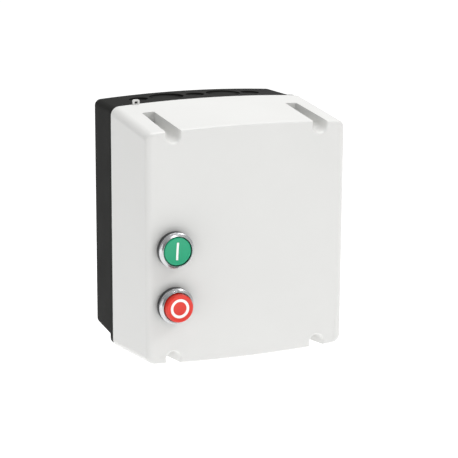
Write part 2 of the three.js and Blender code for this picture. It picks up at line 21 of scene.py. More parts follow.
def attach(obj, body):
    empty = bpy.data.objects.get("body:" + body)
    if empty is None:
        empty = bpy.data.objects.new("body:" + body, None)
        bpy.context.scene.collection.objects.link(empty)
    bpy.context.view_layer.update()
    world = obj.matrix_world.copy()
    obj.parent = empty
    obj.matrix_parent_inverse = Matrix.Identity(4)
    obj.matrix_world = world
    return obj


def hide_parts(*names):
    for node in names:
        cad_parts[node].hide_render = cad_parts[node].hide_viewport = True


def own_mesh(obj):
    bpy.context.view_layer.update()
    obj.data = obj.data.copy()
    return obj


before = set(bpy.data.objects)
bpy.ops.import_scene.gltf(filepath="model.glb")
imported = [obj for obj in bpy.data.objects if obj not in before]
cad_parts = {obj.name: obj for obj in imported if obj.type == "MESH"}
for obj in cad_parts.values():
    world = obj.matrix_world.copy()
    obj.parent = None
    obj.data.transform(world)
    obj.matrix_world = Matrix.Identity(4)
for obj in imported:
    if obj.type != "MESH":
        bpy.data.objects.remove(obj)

LOG = logging.getLogger("starter")
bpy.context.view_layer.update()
MM = 0.001
SENSOR_MM = 36.0
MERGE = 1e-6  # metres: corners closer than this are one
SAME_PLACE = 1e-5  # metres: a depth within this is the same depth
MOTTLE_BAND = (0.3, 0.7)  # the part of the slow noise that changes colour and shine
WAVE_PERIOD = 20.0  # the wave texture's scale for one ridge per unit
COVER_FRONT = 139.5
SCREW_X = 65.0  # cover screws, across
SCREW_Z = 93.0  # cover screws, in height
BUTTON_X = -65.45
START_Z = 0.35
STOP_Z = -46.2
RAIL_Z = 31.5
RAIL_SCREW_XS = (-72.0, 67.0)
EARTH_Z = -72.0
EARTH_SCREW_XS = (22.0, 48.0)


# ------------------------------------------------------------------ materials


def srgb(code: str) -> tuple[float, float, float, float]:
    """Turns an sRGB hex colour into linear RGBA.

    Args:
        code: Six hex digits, such as "e4e4e1".

    Returns:
        The linear red, green, blue and an alpha of 1.
    """
    channels = [int(code[i : i + 2], 16) / 255 for i in (0, 2, 4)]
    linear = [c / 12.92 if c <= 0.04045 else ((c + 0.055) / 1.055) ** 2.4 for c in channels]
    return (*linear, 1.0)


def add_node(tree: bpy.types.NodeTree, kind: str, links: dict | None = None, **settings) -> bpy.types.Node:
    """Adds a shader node with its settings and links.

    Args:
        tree: The node tree that takes the node.
        kind: The node's type, such as "ShaderNodeBump".
        links: Input name or index to an output socket, or to a plain value.
        settings: Attributes of the node itself.

    Returns:
        The new node.
    """
    node = tree.nodes.new(kind)
    for key, value in settings.items():
        setattr(node, key, value)
    for key, value in (links or {}).items():
        if isinstance(value, bpy.types.NodeSocket):
            tree.links.new(value, node.inputs[key])
        else:
            node.inputs[key].default_value = value
    return node


def per_metre(size_mm: float) -> float:
    """The noise scale whose features are about this many millimetres across."""
    return 1 / (size_mm * MM)


@dataclass(frozen=True)
class Finish:
    """A finish: its colour, its shine and the relief of its surface.

    The relief is fine noise, as left by a mould, a plating bath or a drawing die, and the mottle is a slow
    change of colour and shine over some centimetres.
    """

    name: str
    slot: str
    colour: str
    roughness: float = 0.45
    metallic: float = 0.0
    ior: float = 1.5
    grain_mm: float = 0.6
    grain_depth_mm: float = 0.01
    mottle_mm: float = 25.0
    mottle: float = 0.04
    shine_change: float = 0.05
    specular: float = 0.5

    def material(self) -> bpy.types.Material:
        """Returns the Blender material, made on first use."""
        found = bpy.data.materials.get(self.name)
        return found or self.build()

    def height(self, tree: bpy.types.NodeTree, place: bpy.types.NodeSocket) -> bpy.types.NodeSocket:
        """The relief of the surface, from 0 to 1."""
        links = {"Vector": place, "Scale": per_metre(self.grain_mm), "Detail": 3.0, "Roughness": 0.6}
        return add_node(tree, "ShaderNodeTexNoise", links).outputs["Fac"]

    def build(self) -> bpy.types.Material:
        """Makes the node tree.

        Returns:
            The new material.
        """
        material = bpy.data.materials.new(self.name)
        material.use_nodes = True
        tree = material.node_tree
        tree.nodes.clear()
        place = add_node(tree, "ShaderNodeTexCoord").outputs["Object"]
        slow_links = {"Vector": place, "Scale": per_metre(self.mottle_mm), "Detail": 4.0, "Roughness": 0.55}
        slow = add_node(tree, "ShaderNodeTexNoise", slow_links).outputs["Fac"]
        height = self.height(tree, place)
        base = srgb(self.colour)
        low = tuple(c * (1 - self.mottle) for c in base[:3]) + (1.0,)
        high = tuple(min(1.0, c * (1 + self.mottle)) for c in base[:3]) + (1.0,)
        ramp = add_node(tree, "ShaderNodeValToRGB", {"Fac": slow})
        ramp.color_ramp.elements[0].position = MOTTLE_BAND[0]
        ramp.color_ramp.elements[0].color = low
        ramp.color_ramp.elements[1].position = MOTTLE_BAND[1]
        ramp.color_ramp.elements[1].color = high
        shine_links = {
            "Value": slow,
            "From Min": MOTTLE_BAND[0],
            "From Max": MOTTLE_BAND[1],
            "To Min": max(0.02, self.roughness - self.shine_change),
            "To Max": min(1.0, self.roughness + self.shine_change),
        }
        shine = add_node(tree, "ShaderNodeMapRange", shine_links).outputs["Result"]
        bump_links = {"Height": height, "Strength": 1.0, "Distance": self.grain_depth_mm * MM}
        bump = add_node(tree, "ShaderNodeBump", bump_links)
        shader = add_node(
            tree,
            "ShaderNodeBsdfPrincipled",
            {
                "Base Color": ramp.outputs["Color"],
                "Roughness": shine,
                "Metallic": self.metallic,
                "IOR": self.ior,
                "Specular IOR Level": self.specular,
                "Normal": bump.outputs["Normal"],
            },
        )
        add_node(tree, "ShaderNodeOutputMaterial", {"Surface": shader.outputs["BSDF"]})
        return material


@dataclass(frozen=True)
class StripedFinish(Finish):
    """A finish with parallel ridges: stacked laminations, wound wire or a brushed or drawn bar."""

    ridge_mm: float = 0.5
    ridge_axis: str = "X"

    def height(self, tree: bpy.types.NodeTree, place: bpy.types.NodeSocket) -> bpy.types.NodeSocket:
        """Round ridges across one axis.

        Args:
            tree: The material's node tree.
            place: The coordinates to draw them at.

        Returns:
            The output that holds the relief.
        """
        scale = per_metre(self.ridge_mm) / WAVE_PERIOD
        links = {"Vector": place, "Scale": scale, "Distortion": 0.3, "Detail": 1.0}
        return add_node(tree, "ShaderNodeTexWave", links, bands_direction=self.ridge_axis).outputs["Fac"]


class Look(Enum):
    """The finishes of the starter."""

    # ABS and polycarbonate blend from a spark-eroded mould: a fine even grain and a soft sheen
    COVER = Finish(
        "light_grey_abs", "cover_plastic", "dadad8", roughness=0.42, ior=1.53, grain_mm=0.45,
        grain_depth_mm=0.012, mottle_mm=60, mottle=0.012, shine_change=0.03,
    )
    # polycarbonate, near black, from a mould with a light grain: deep and even, with hardly a highlight
    BASE = Finish(
        "black_polycarbonate", "base_plastic", "282827", roughness=0.5, grain_mm=0.5,
        grain_depth_mm=0.014, mottle_mm=40, mottle=0.1, shine_change=0.06, specular=0.012,
    )
    # foamed neoprene: matt, slightly open surface
    RUBBER = Finish(
        "neoprene", "gasket_rubber", "1b1b1c", roughness=0.8, grain_mm=0.35, grain_depth_mm=0.03,
        mottle_mm=15, mottle=0.1,
    )
    # nickel and chrome plate over die-cast zinc: soft metal reflections over faint waves
    CHROME = Finish(
        "chromed_zinc", "chrome_bezel", "bfc0c2", roughness=0.25, metallic=1, grain_mm=3.0,
        grain_depth_mm=0.003, mottle_mm=12, mottle=0.02, shine_change=0.04,
    )
    # the same plating on the bezel's skirt, a little rougher, with painted shade: its colour is darkened to
    # stand in for the shadow and dark reflections on the bezel's side
    CHROME_PAINTED_SHADE = Finish(
        "chromed_zinc_painted_shade", "chrome_bezel", "404143", roughness=0.32, metallic=1,
        grain_depth_mm=0.004, mottle_mm=10, mottle=0.05,
    )
    GREEN = Finish(
        "green_nylon", "green_plastic", "0f9e72", roughness=0.36, ior=1.53, grain_mm=0.35,
        grain_depth_mm=0.008, mottle_mm=12, shine_change=0.04,
    )
    RED = Finish(
        "red_nylon", "red_plastic", "dc2c1c", roughness=0.34, ior=1.53, grain_mm=0.35,
        grain_depth_mm=0.008, mottle_mm=12, shine_change=0.04,
    )
    WHITE = Finish(
        "white_nylon", "white_plastic", "f6f6f3", roughness=0.35, ior=1.53, grain_mm=0.35,
        grain_depth_mm=0.006, mottle_mm=12, mottle=0.01, shine_change=0.03,
    )
    BLACK = Finish(
        "black_nylon", "black_plastic", "212224", roughness=0.5, ior=1.53, grain_mm=0.4,
        grain_depth_mm=0.014, mottle_mm=15, mottle=0.12,
    )
    # zinc plate with clear passivation: soft bluish metal with cloudy shine
    ZINC = Finish(
        "zinc_plated_steel", "zinc_steel", "b9bdc0", roughness=0.3, metallic=1, grain_mm=0.5,
        grain_depth_mm=0.004, mottle_mm=6, mottle=0.08, shine_change=0.1,
    )
    COPPER = StripedFinish(
        "drawn_copper", "copper", "c27a4e", roughness=0.3, metallic=1, grain_mm=1.0,
        grain_depth_mm=0.004, mottle_mm=8, mottle=0.08, shine_change=0.06, ridge_mm=0.3, ridge_axis="X",
    )
    WINDING = StripedFinish(
        "enamelled_wire", "copper", "a8562c", roughness=0.28, metallic=1, grain_mm=1.0,
        grain_depth_mm=0.1, mottle_mm=8, mottle=0.1, ridge_mm=0.45, ridge_axis="Y",
    )
    BRASS = StripedFinish(
        "drawn_brass", "brass", "cda85c", roughness=0.3, metallic=1, grain_mm=1.0, grain_depth_mm=0.004,
        mottle_mm=8, mottle=0.06, shine_change=0.06, ridge_mm=0.3, ridge_axis="Z",
    )
    # glass-filled nylon: matt, with a faint mottle from the fibres
    DARK = Finish(
        "dark_glass_nylon", "device_dark", "4b4f53", roughness=0.55, ior=1.53, grain_mm=0.5,
        grain_depth_mm=0.02, mottle_mm=10, mottle=0.08,
    )
    LIGHT = Finish(
        "light_glass_nylon", "device_light", "c6c8c4", roughness=0.5, ior=1.53, grain_mm=0.5,
        grain_depth_mm=0.016, mottle_mm=10, mottle=0.03,
    )
    IRON = StripedFinish(
        "electrical_sheet", "laminated_iron", "6d7073", roughness=0.42, metallic=1, grain_mm=1.0,
        grain_depth_mm=0.05, mottle_mm=8, mottle=0.12, shine_change=0.08, ridge_mm=0.5, ridge_axis="X",
    )
    BLUE = Finish(
        "blue_nylon", "blue_plastic", "2c62a4", roughness=0.4, ior=1.53, grain_mm=0.35,
        grain_depth_mm=0.008, mottle_mm=12, shine_change=0.04,
    )


# ------------------------------------------------------------------ mesh tools
# Shapes are given in millimetres. A depth is a distance from the wall, so it grows towards the front.


def at_depth(x: float, z: float) -> Matrix:
    """Turns a shape drawn about its own Z so that Z runs out from the wall, at x and z."""
    turn = Matrix.Rotation(math.pi / 2, 4, "X")
    return Matrix.Translation((x * MM, 0, z * MM)) @ turn @ Matrix.Scale(MM, 4)


def block(across: Sequence[float], depths: Sequence[float], heights: Sequence[float]) -> BMesh:
    """A box between two places across, two depths and two heights.

    Args:
        across: Two places across.
        depths: Two depths.
        heights: Two heights.

    Returns:
        The box.
    """
    bm = bmesh.new()
    bmesh.ops.create_cube(bm, size=1)
    low = Vector((min(across), -max(depths), min(heights))) * MM
    high = Vector((max(across), -min(depths), max(heights))) * MM
    size = Matrix.Diagonal((*(high - low), 1))
    bmesh.ops.transform(bm, matrix=Matrix.Translation((low + high) / 2) @ size, verts=bm.verts)
    return bm


def rod(x: float, z: float, radius: float, depths: Sequence[float], sides: int = 48) -> BMesh:
    """A round bar along the depth.

    Args:
        x: Where its axis is, across.
        z: Where its axis is, in height.
        radius: Its radius.
        depths: The depths of its two ends.
        sides: Faces around it.

    Returns:
        The bar.
    """
    bm = bmesh.new()
    length = abs(depths[1] - depths[0])
    bmesh.ops.create_cone(bm, cap_ends=True, segments=sides, radius1=radius, radius2=radius, depth=length)
    place = at_depth(x, z) @ Matrix.Translation((0, 0, sum(depths) / 2))
    bmesh.ops.transform(bm, matrix=place, verts=bm.verts)
    return bm


def upright_rod(x: float, depth: float, radius: float, heights: Sequence[float], sides: int = 72) -> BMesh:
    """A round bar along the height.

    Args:
        x: Where its axis is, across.
        depth: The depth of its axis.
        radius: Its radius.
        heights: The heights of its two ends.
        sides: Faces around it.

    Returns:
        The bar.
    """
    bm = bmesh.new()
    length = abs(heights[1] - heights[0]) * MM
    bmesh.ops.create_cone(
        bm, cap_ends=True, segments=sides, radius1=radius * MM, radius2=radius * MM, depth=length
    )
    bmesh.ops.translate(bm, vec=(x * MM, -depth * MM, sum(heights) / 2 * MM), verts=bm.verts)
    return bm


def turned(x: float, z: float, profile: Sequence[tuple[float, float]], steps: int = 96) -> BMesh:
    """Spins a profile about a line along the depth.

    Args:
        x: Where the line is, across.
        z: Where the line is, in height.
        profile: Radius and depth of each corner. It starts and ends on the line, or closes on itself.
        steps: Faces around the line.

    Returns:
        A closed mesh.
    """
    bm = bmesh.new()
    closed = profile[0] == profile[-1]
    corners = [bm.verts.new((radius, 0, depth)) for radius, depth in (profile[:-1] if closed else profile)]
    followers = corners[1:] + (corners[:1] if closed else [])
    edges = [bm.edges.new(pair) for pair in zip(corners, followers)]
    bmesh.ops.spin(
        bm, geom=corners + edges, cent=(0, 0, 0), axis=(0, 0, 1),
        angle=math.tau, steps=steps, use_merge=True,
    )
    bmesh.ops.remove_doubles(bm, verts=bm.verts, dist=1e-4)
    bmesh.ops.transform(bm, matrix=at_depth(x, z), verts=bm.verts)
    bmesh.ops.recalc_face_normals(bm, faces=bm.faces)
    return bm


def ring(
    inner: float, outer: float, rear: float, front: float, edge: float = 0.0
) -> list[tuple[float, float]]:
    """A ring's section for turned(), with its four edges broken.

    Args:
        inner: Its inner radius.
        outer: Its outer radius.
        rear: The depth of its rear face.
        front: The depth of its front face.
        edge: How far each corner is cut back, or 0 for sharp corners.

    Returns:
        Radius and depth of each corner, closing on itself.
    """
    if not edge:
        return [(inner, rear), (outer, rear), (outer, front), (inner, front), (inner, rear)]
    return [
        (inner + edge, rear), (outer - edge, rear), (outer, rear + edge), (outer, front - edge),
        (outer - edge, front), (inner + edge, front), (inner, front - edge), (inner, rear + edge),
        (inner + edge, rear),
    ]


def coil(x: float, z: float, radius: float, wire: float, depths: Sequence[float], turns: int) -> BMesh:
    """A compression spring along the depth, with a round wire and its two ends closed.

    Args:
        x: Where its axis is, across.
        z: Where its axis is, in height.
        radius: From the axis to the middle of the wire.
        wire: The wire's thickness.
        depths: The depths of its two ends.
        turns: How many times the wire goes round.

    Returns:
        The spring.
    """
    bm = bmesh.new()
    place = Matrix.Translation((radius, 0, min(depths) + wire / 2)) @ Matrix.Rotation(math.pi / 2, 4, "X")
    bmesh.ops.create_circle(bm, cap_ends=False, segments=12, radius=wire / 2, matrix=place)
    steps = 36 * turns
    rise = (abs(depths[1] - depths[0]) - wire) / steps
    bmesh.ops.spin(
        bm, geom=bm.verts[:] + bm.edges[:], cent=(0, 0, 0), axis=(0, 0, 1), dvec=(0, 0, rise),
        angle=math.tau * turns, steps=steps, use_merge=False,
    )
    bmesh.ops.holes_fill(bm, edges=[e for e in bm.edges if e.is_boundary], sides=0)
    bmesh.ops.transform(bm, matrix=at_depth(x, z), verts=bm.verts)
    bmesh.ops.recalc_face_normals(bm, faces=bm.faces)
    return bm


def joined(*parts: BMesh) -> BMesh:
    """Puts several meshes into one and frees them.

    Args:
        parts: The meshes.

    Returns:
        One mesh that holds them all.
    """
    whole = bmesh.new()
    for part in parts:
        mesh = bpy.data.meshes.new("part")
        part.to_mesh(mesh)
        part.free()
        whole.from_mesh(mesh)
        bpy.data.meshes.remove(mesh)
    return whole


def cad_copy(node: str) -> BMesh:
    """A copy of a CAD node's mesh with its doubles merged and its flat faces whole again.

    Args:
        node: The CAD node's name.

    Returns:
        The copy.
    """
    bm = bmesh.new()
    bm.from_mesh(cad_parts[node].data)
    bmesh.ops.remove_doubles(bm, verts=bm.verts, dist=MERGE)
    bmesh.ops.dissolve_limit(bm, angle_limit=math.radians(0.6), verts=bm.verts[:], edges=bm.edges[:])
    return bm


def to_object(bm: BMesh, name: str) -> bpy.types.Object:
    """Makes an object of a mesh and frees the mesh.

    Args:
        bm: The mesh. It is freed.
        name: The object's name.

    Returns:
        The object, linked to the scene.
    """
    mesh = bpy.data.meshes.new(name)
    bm.to_mesh(mesh)
    bm.free()
    item = bpy.data.objects.new(name, mesh)
    bpy.context.scene.collection.objects.link(item)
    return item


def settle(item: bpy.types.Object) -> BMesh:
    """Applies an object's modifiers, removes it and returns its mesh.

    Args:
        item: The object.

    Returns:
        The mesh after its modifiers.
    """
    bpy.context.view_layer.update()
    evaluated = item.evaluated_get(bpy.context.evaluated_depsgraph_get())
    bm = bmesh.new()
    bm.from_mesh(evaluated.to_mesh())
    evaluated.to_mesh_clear()
    mesh = item.data
    bpy.data.objects.remove(item)
    bpy.data.meshes.remove(mesh)
    return bm


def boolean(body: BMesh, operation: str, *tools: BMesh) -> BMesh:
    """Joins tools to a body or cuts them from it.

    Args:
        body: The mesh to change. It is freed.
        operation: "UNION", "DIFFERENCE" or "INTERSECT".
        tools: The other meshes, used one by one. They are freed.

    Returns:
        The result as a new mesh.
    """
    item = to_object(body, "body")
    others = [to_object(tool, f"tool_{i}") for i, tool in enumerate(tools)]
    for other in others:
        modifier = item.modifiers.new("boolean", "BOOLEAN")
        modifier.operation = operation
        modifier.object = other
        modifier.solver = "EXACT"
    result = settle(item)
    for other in others:
        mesh = other.data
        bpy.data.objects.remove(other)
        bpy.data.meshes.remove(mesh)
    bmesh.ops.remove_doubles(result, verts=result.verts, dist=SAME_PLACE)
    return result


def soften(bm: BMesh, width_of: Callable[[BMEdge], float], segments: int = 3, clamp: bool = False) -> BMesh:
    """Rounds the sharp edges of a mesh, each with its own radius.

    Args:
        bm: The mesh. It is freed.
        width_of: Gives an edge's radius in metres, or 0 to leave it.
        segments: Faces across each rounding.
        clamp: Whether roundings shrink where they would meet.

    Returns:
        The rounded mesh.
    """
    widths = {edge.index: width_of(edge) for edge in indexed(bm).edges}
    widest = max(widths.values())
    item = to_object(bm, "rounded")
    weights = item.data.attributes.new("bevel_weight_edge", "FLOAT", "EDGE")
    weights.data.foreach_set("value", [widths[i] / widest for i in range(len(item.data.edges))])
    modifier = item.modifiers.new("rounding", "BEVEL")
    modifier.limit_method = "WEIGHT"
    modifier.width = widest
    modifier.segments = segments
    modifier.use_clamp_overlap = clamp
    modifier.miter_outer = "MITER_SHARP"
    return settle(item)


def indexed(bm: BMesh) -> BMesh:
    """Refreshes a mesh's element numbers and normals.

    Args:
        bm: The mesh.

    Returns:
        The same mesh.
    """
    bm.normal_update()
    for group in (bm.verts, bm.edges, bm.faces):
        group.index_update()
        group.ensure_lookup_table()
    return bm


def level_shading(bm: BMesh, xs: Sequence[float], zs: Sequence[float]) -> None:
    """Parts large flat faces along a plain grid, so that they shade dead flat.

    Args:
        bm: The mesh.
        xs: Where to part them across, in millimetres.
        zs: Where to part them in height, in millimetres.
    """
    planes = [((x * MM, 0, 0), (1, 0, 0)) for x in xs] + [((0, 0, z * MM), (0, 0, 1)) for z in zs]
    for point, normal in planes:
        geom = bm.verts[:] + bm.edges[:] + bm.faces[:]
        bmesh.ops.bisect_plane(bm, geom=geom, plane_co=point, plane_no=normal, dist=MERGE)


def fold(edge: BMEdge) -> float:
    """The angle between an edge's two faces in degrees, or 0 on an open edge."""
    return math.degrees(edge.calc_face_angle(0.0)) if len(edge.link_faces) == 2 else 0.0


def add_piece(
    bm: BMesh,
    name: str,
    body: str,
    look: Look,
    replaces: Sequence[str] = (),
    smooth: float = 32.0,
    weighted: bool = True,
) -> bpy.types.Object:
    """Makes a finished piece of a mesh.

    Args:
        bm: The mesh, in place in the frame. It is freed.
        name: The piece's name.
        body: The CAD body that it moves with.
        look: Its finish.
        replaces: The CAD nodes that it stands for.
        smooth: Edges folded more than this many degrees stay crisp.
        weighted: Whether large faces keep their flat shading next to roundings.

    Returns:
        The piece.
    """
    for face in bm.faces:
        face.smooth = True
    item = to_object(bm, name)
    item.data.set_sharp_from_angle(angle=math.radians(smooth))
    if weighted:
        modifier = item.modifiers.new("flat_faces", "WEIGHTED_NORMAL")
        modifier.keep_sharp = True
        modifier.weight = 100
    finish = look.value
    item.data.materials.append(finish.material())
    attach(item, body)
    if replaces:
        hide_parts(*replaces)
    LOG.info("%s: %d faces on %s", name, len(item.data.polygons), body)
    return item


# ------------------------------------------------------------------ case


@dataclass
class CrownedBlock:
    """A block with arched top and bottom, rounded upright corners and ends that may differ in height.

    Depths are distances from the wall, in millimetres, as every size in the classes below.
    """

    half_width: float
    half_height: float
    crown: float
    corner: float
    rear: float
    front: float
    front_width_share: float = 1.0
    front_height_share: float = 1.0
    rise: float = 0.0
    front_rise: float = 0.0
    cuts: int = 25
    corner_segments: int = 9

    def build(self) -> BMesh:
        """Extrudes the crowned outline from the rear to the front."""
        bm = bmesh.new()
        bmesh.ops.create_grid(bm, x_segments=1, y_segments=1, size=1)
        size = Matrix.Diagonal((self.half_width * MM, self.half_height * MM, 1, 1))
        upright = Matrix.Rotation(math.pi / 2, 4, "X")
        bmesh.ops.transform(bm, matrix=upright @ size, verts=bm.verts)
        bmesh.ops.bevel(
            bm,
            geom=bm.verts[:],
            offset=self.corner * MM,
            offset_type="OFFSET",
            segments=self.corner_segments,
            profile=0.5,
            affect="VERTICES",
            material=-1,
        )
        long_edges = [e for e in bm.edges if abs(e.verts[0].co.x - e.verts[1].co.x) > self.half_width * MM]
        bmesh.ops.subdivide_edges(bm, edges=long_edges, cuts=self.cuts)
        bmesh.ops.dissolve_faces(bm, faces=bm.faces[:])
        for vert in bm.verts:
            share = vert.co.x / (self.half_width * MM)
            vert.co.z += math.copysign(self.crown * MM * (1 - share**2), vert.co.z)
        face = bm.faces[:][0]
        bmesh.ops.translate(bm, vec=(0, -self.rear * MM, self.rise * MM), verts=bm.verts)
        grown = bmesh.ops.extrude_face_region(bm, geom=[face])["geom"]
        moved = [g for g in grown if isinstance(g, BMVert)]
        for vert in moved:
            vert.co.x *= self.front_width_share
            vert.co.z = (vert.co.z - self.rise * MM) * self.front_height_share + self.front_rise * MM
            vert.co.y = -self.front * MM
        bmesh.ops.recalc_face_normals(bm, faces=bm.faces)
        return bm


def case_corners(x: float, z: float) -> list[tuple[float, float]]:
    """The four places at plus and minus x and z."""
    return [(sx * x, sz * z) for sz in (1, -1) for sx in (-1, 1)]


@dataclass
class Cover:
    """The light-grey front half of the case, with a channel for each cover screw and a seal eyelet."""

    half_width: float = 88.25
    half_height: float = 104.25
    crown: float = 3.3
    corner: float = 7.0
    rear: float = 55.5
    front: float = COVER_FRONT
    front_height_share: float = 191 / 208.5
    wall: float = 3.0
    side_edge: float = 5.4
    end_edge: float = 1.7
    screw_x: float = SCREW_X
    screw_z: float = SCREW_Z
    channel_front_radius: float = 6.3
    channel_rear_radius: float = 5.2
    channel_end: float = 81.5
    channel_wall: float = 2.4
    button_hole: float = 11.25
    column_radius: float = 5.2
    column_rear: float = 57.3
    screw_hole: float = 2.3
    border_xs: tuple[float, ...] = (-81.5, -50.5)
    border_zs: tuple[float, ...] = (19.0, -21.5, -62.0)
    eyelet_x: float = -66.2
    eyelet_width: float = 6.0
    eyelet_top: float = 109.65
    eyelet_height: float = 6.5
    eyelet_depths: tuple[float, float] = (55.5, 57.5)
    eyelet_wall: float = 1.5
    eyelet_hole: tuple[float, float] = (3.6, 1.4)
    channel_reach: float = 30.0
    channel_edge: float = 1.6
    outer_edge: float = 0.45
    inner_edge: float = 0.35
    hole_edge: float = 0.3
    holes_within: tuple[float, float] = (78.0, 80.0)

    def eyelet(self) -> BMesh:
        """The lug for a lead seal on the rear rim, with rounded corners and an oblong hole."""
        left, right = (self.eyelet_x + side * self.eyelet_width / 2 for side in (-1, 1))
        near, far = self.eyelet_depths
        top = self.eyelet_top
        wall = self.eyelet_wall
        low, high = (top - drop for drop in self.eyelet_hole)
        lug = self.rounded(block((left, right), (near, far), (top - self.eyelet_height, top)), 1.3)
        bore = self.rounded(block((left + wall, right - wall), (near - 1, far + 1), (low, high)), 0.6)
        return soften(boolean(lug, "DIFFERENCE", bore), lambda edge: 0.2 * MM if fold(edge) > 50 else 0.0)

    def rounded(self, bm: BMesh, radius: float) -> BMesh:
        """Rounds the edges of a block that run along the depth."""
        return soften(bm, lambda edge: radius * MM if self.runs_deep(edge) else 0.0, segments=5)

    def trough(self, x: float, z: float, extra: float, rear: float) -> BMesh:
        """A channel's shape: half round towards the middle, open outwards, wider at the front.

        Args:
            x: The channel's line, across.
            z: The channel's line, in height.
            extra: How much larger than the channel itself.
            rear: The depth at which it ends.

        Returns:
            The closed shape, which runs past the front of the cover.
        """
        up = math.copysign(1, z)
        radius = self.channel_front_radius + extra
        bm = block((-radius, radius), (0, -1), (-radius, self.channel_reach))
        lower = [e for e in bm.edges if all(v.co.z < 0 for v in e.verts) and self.runs_deep(e)]
        bmesh.ops.bevel(
            bm, geom=lower, offset=radius * MM, segments=14, profile=0.5, affect="EDGES", material=-1
        )
        bmesh.ops.remove_doubles(bm, verts=bm.verts, dist=MERGE)
        front = self.front + 4
        rear_share = (self.channel_rear_radius + extra) / radius
        for vert in bm.verts:
            at_rear = vert.co.y > 0.5 * MM
            if at_rear:
                vert.co.x *= rear_share
                vert.co.z = vert.co.z * rear_share if vert.co.z < 0 else vert.co.z
            vert.co.y = -(rear if at_rear else front) * MM
            vert.co.z = up * vert.co.z + z * MM
            vert.co.x += x * MM
        bm.normal_update()
        bmesh.ops.recalc_face_normals(bm, faces=bm.faces)
        return bm

    @staticmethod
    def runs_deep(edge: BMEdge) -> bool:
        """Whether an edge runs along the depth."""
        return abs(edge.verts[0].co.y - edge.verts[1].co.y) > SAME_PLACE

    def edge_radius(self, edge: BMEdge) -> float:
        """The rounding of one edge of the cover, in metres.

        Args:
            edge: The edge.

        Returns:
            The radius, or 0 to leave the edge as it is.
        """
        if fold(edge) < 24:
            return 0.0
        middle = (edge.verts[0].co + edge.verts[1].co) / 2
        if abs(middle.y + self.front * MM) < SAME_PLACE:
            return self.front_edge_radius(edge, middle)
        if middle.y < -(self.rear + 0.2) * MM:
            return self.outer_edge * MM if self.on_outside(middle) else 0.0
        return self.inner_edge * MM

    def on_outside(self, point: Vector) -> bool:
        """Whether a point lies on the top, bottom or sides, or in a channel.

        Args:
            point: The point, in metres.

        Returns:
            Whether it does.
        """
        depth_share = (-point.y / MM - self.rear) / (self.front - self.rear)
        half = self.half_height * (1 - (1 - self.front_height_share) * depth_share) - 0.6
        in_channel = abs(abs(point.x) - self.screw_x * MM) < (self.channel_front_radius + 0.2) * MM
        return abs(point.z) > half * MM or (in_channel and abs(point.z) > (self.screw_z - 7) * MM)

    def front_edge_radius(self, edge: BMEdge, middle: Vector) -> float:
        """The rounding of an edge in the front face's plane: large at the sides, small at the ends.

        Args:
            edge: The edge.
            middle: The edge's middle, in metres.

        Returns:
            The radius, in metres.
        """
        in_channel = abs(abs(middle.x) - self.screw_x * MM) < (self.channel_front_radius + 0.3) * MM
        if in_channel and abs(middle.z) > self.holes_within[1] * MM:
            return self.channel_edge * MM
        if abs(middle.x) < self.holes_within[0] * MM and abs(middle.z) < self.holes_within[1] * MM:
            return self.hole_edge * MM
        normals = [f.normal for f in edge.link_faces if abs(f.normal.y) < 0.9]
        sideways = abs(normals[0].x) if normals else 0.0
        return (self.end_edge + (self.side_edge - self.end_edge) * sideways**2) * MM

    def build(self) -> None:
        """Makes the cover."""
        outer = CrownedBlock(
            self.half_width, self.half_height, self.crown, self.corner, self.rear, self.front,
            front_height_share=self.front_height_share,
        ).build()
        inner_front = self.front - self.wall
        reach = (inner_front - self.rear + 2) / (self.front - self.rear)
        inner = CrownedBlock(
            self.half_width - self.wall, self.half_height - self.wall, self.crown, self.corner - 2,
            self.rear - 1, inner_front, front_height_share=1 - (1 - self.front_height_share) * reach,
        ).build()
        places = case_corners(self.screw_x, self.screw_z)
        troughs = [self.trough(x, z, self.channel_wall, self.channel_end - self.wall) for x, z in places]
        column_depths = (self.column_rear, self.channel_end - 1.5)
        columns = [rod(x, z, self.column_radius, column_depths) for x, z in places]
        hollow = boolean(inner, "DIFFERENCE", *troughs, *columns)
        channels = [self.trough(x, z, 0.0, self.channel_end) for x, z in places]
        hole_depths = (self.rear - 5, self.channel_end + 2)
        holes = [rod(x, z, self.screw_hole, hole_depths, 24) for x, z in places]
        button_depths = (self.front - 8, self.front + 5)
        buttons = [rod(b.x, b.z, self.button_hole, button_depths, 96) for b in BUTTONS]
        body = boolean(outer, "DIFFERENCE", hollow, *channels, *holes, *buttons)
        body = soften(body, self.edge_radius, segments=6)
        level_shading(body, self.border_xs, self.border_zs)
        whole = joined(body, self.eyelet())
        add_piece(whole, "cover_moulding", "cover", Look.COVER, ["cover_shell"], smooth=40)


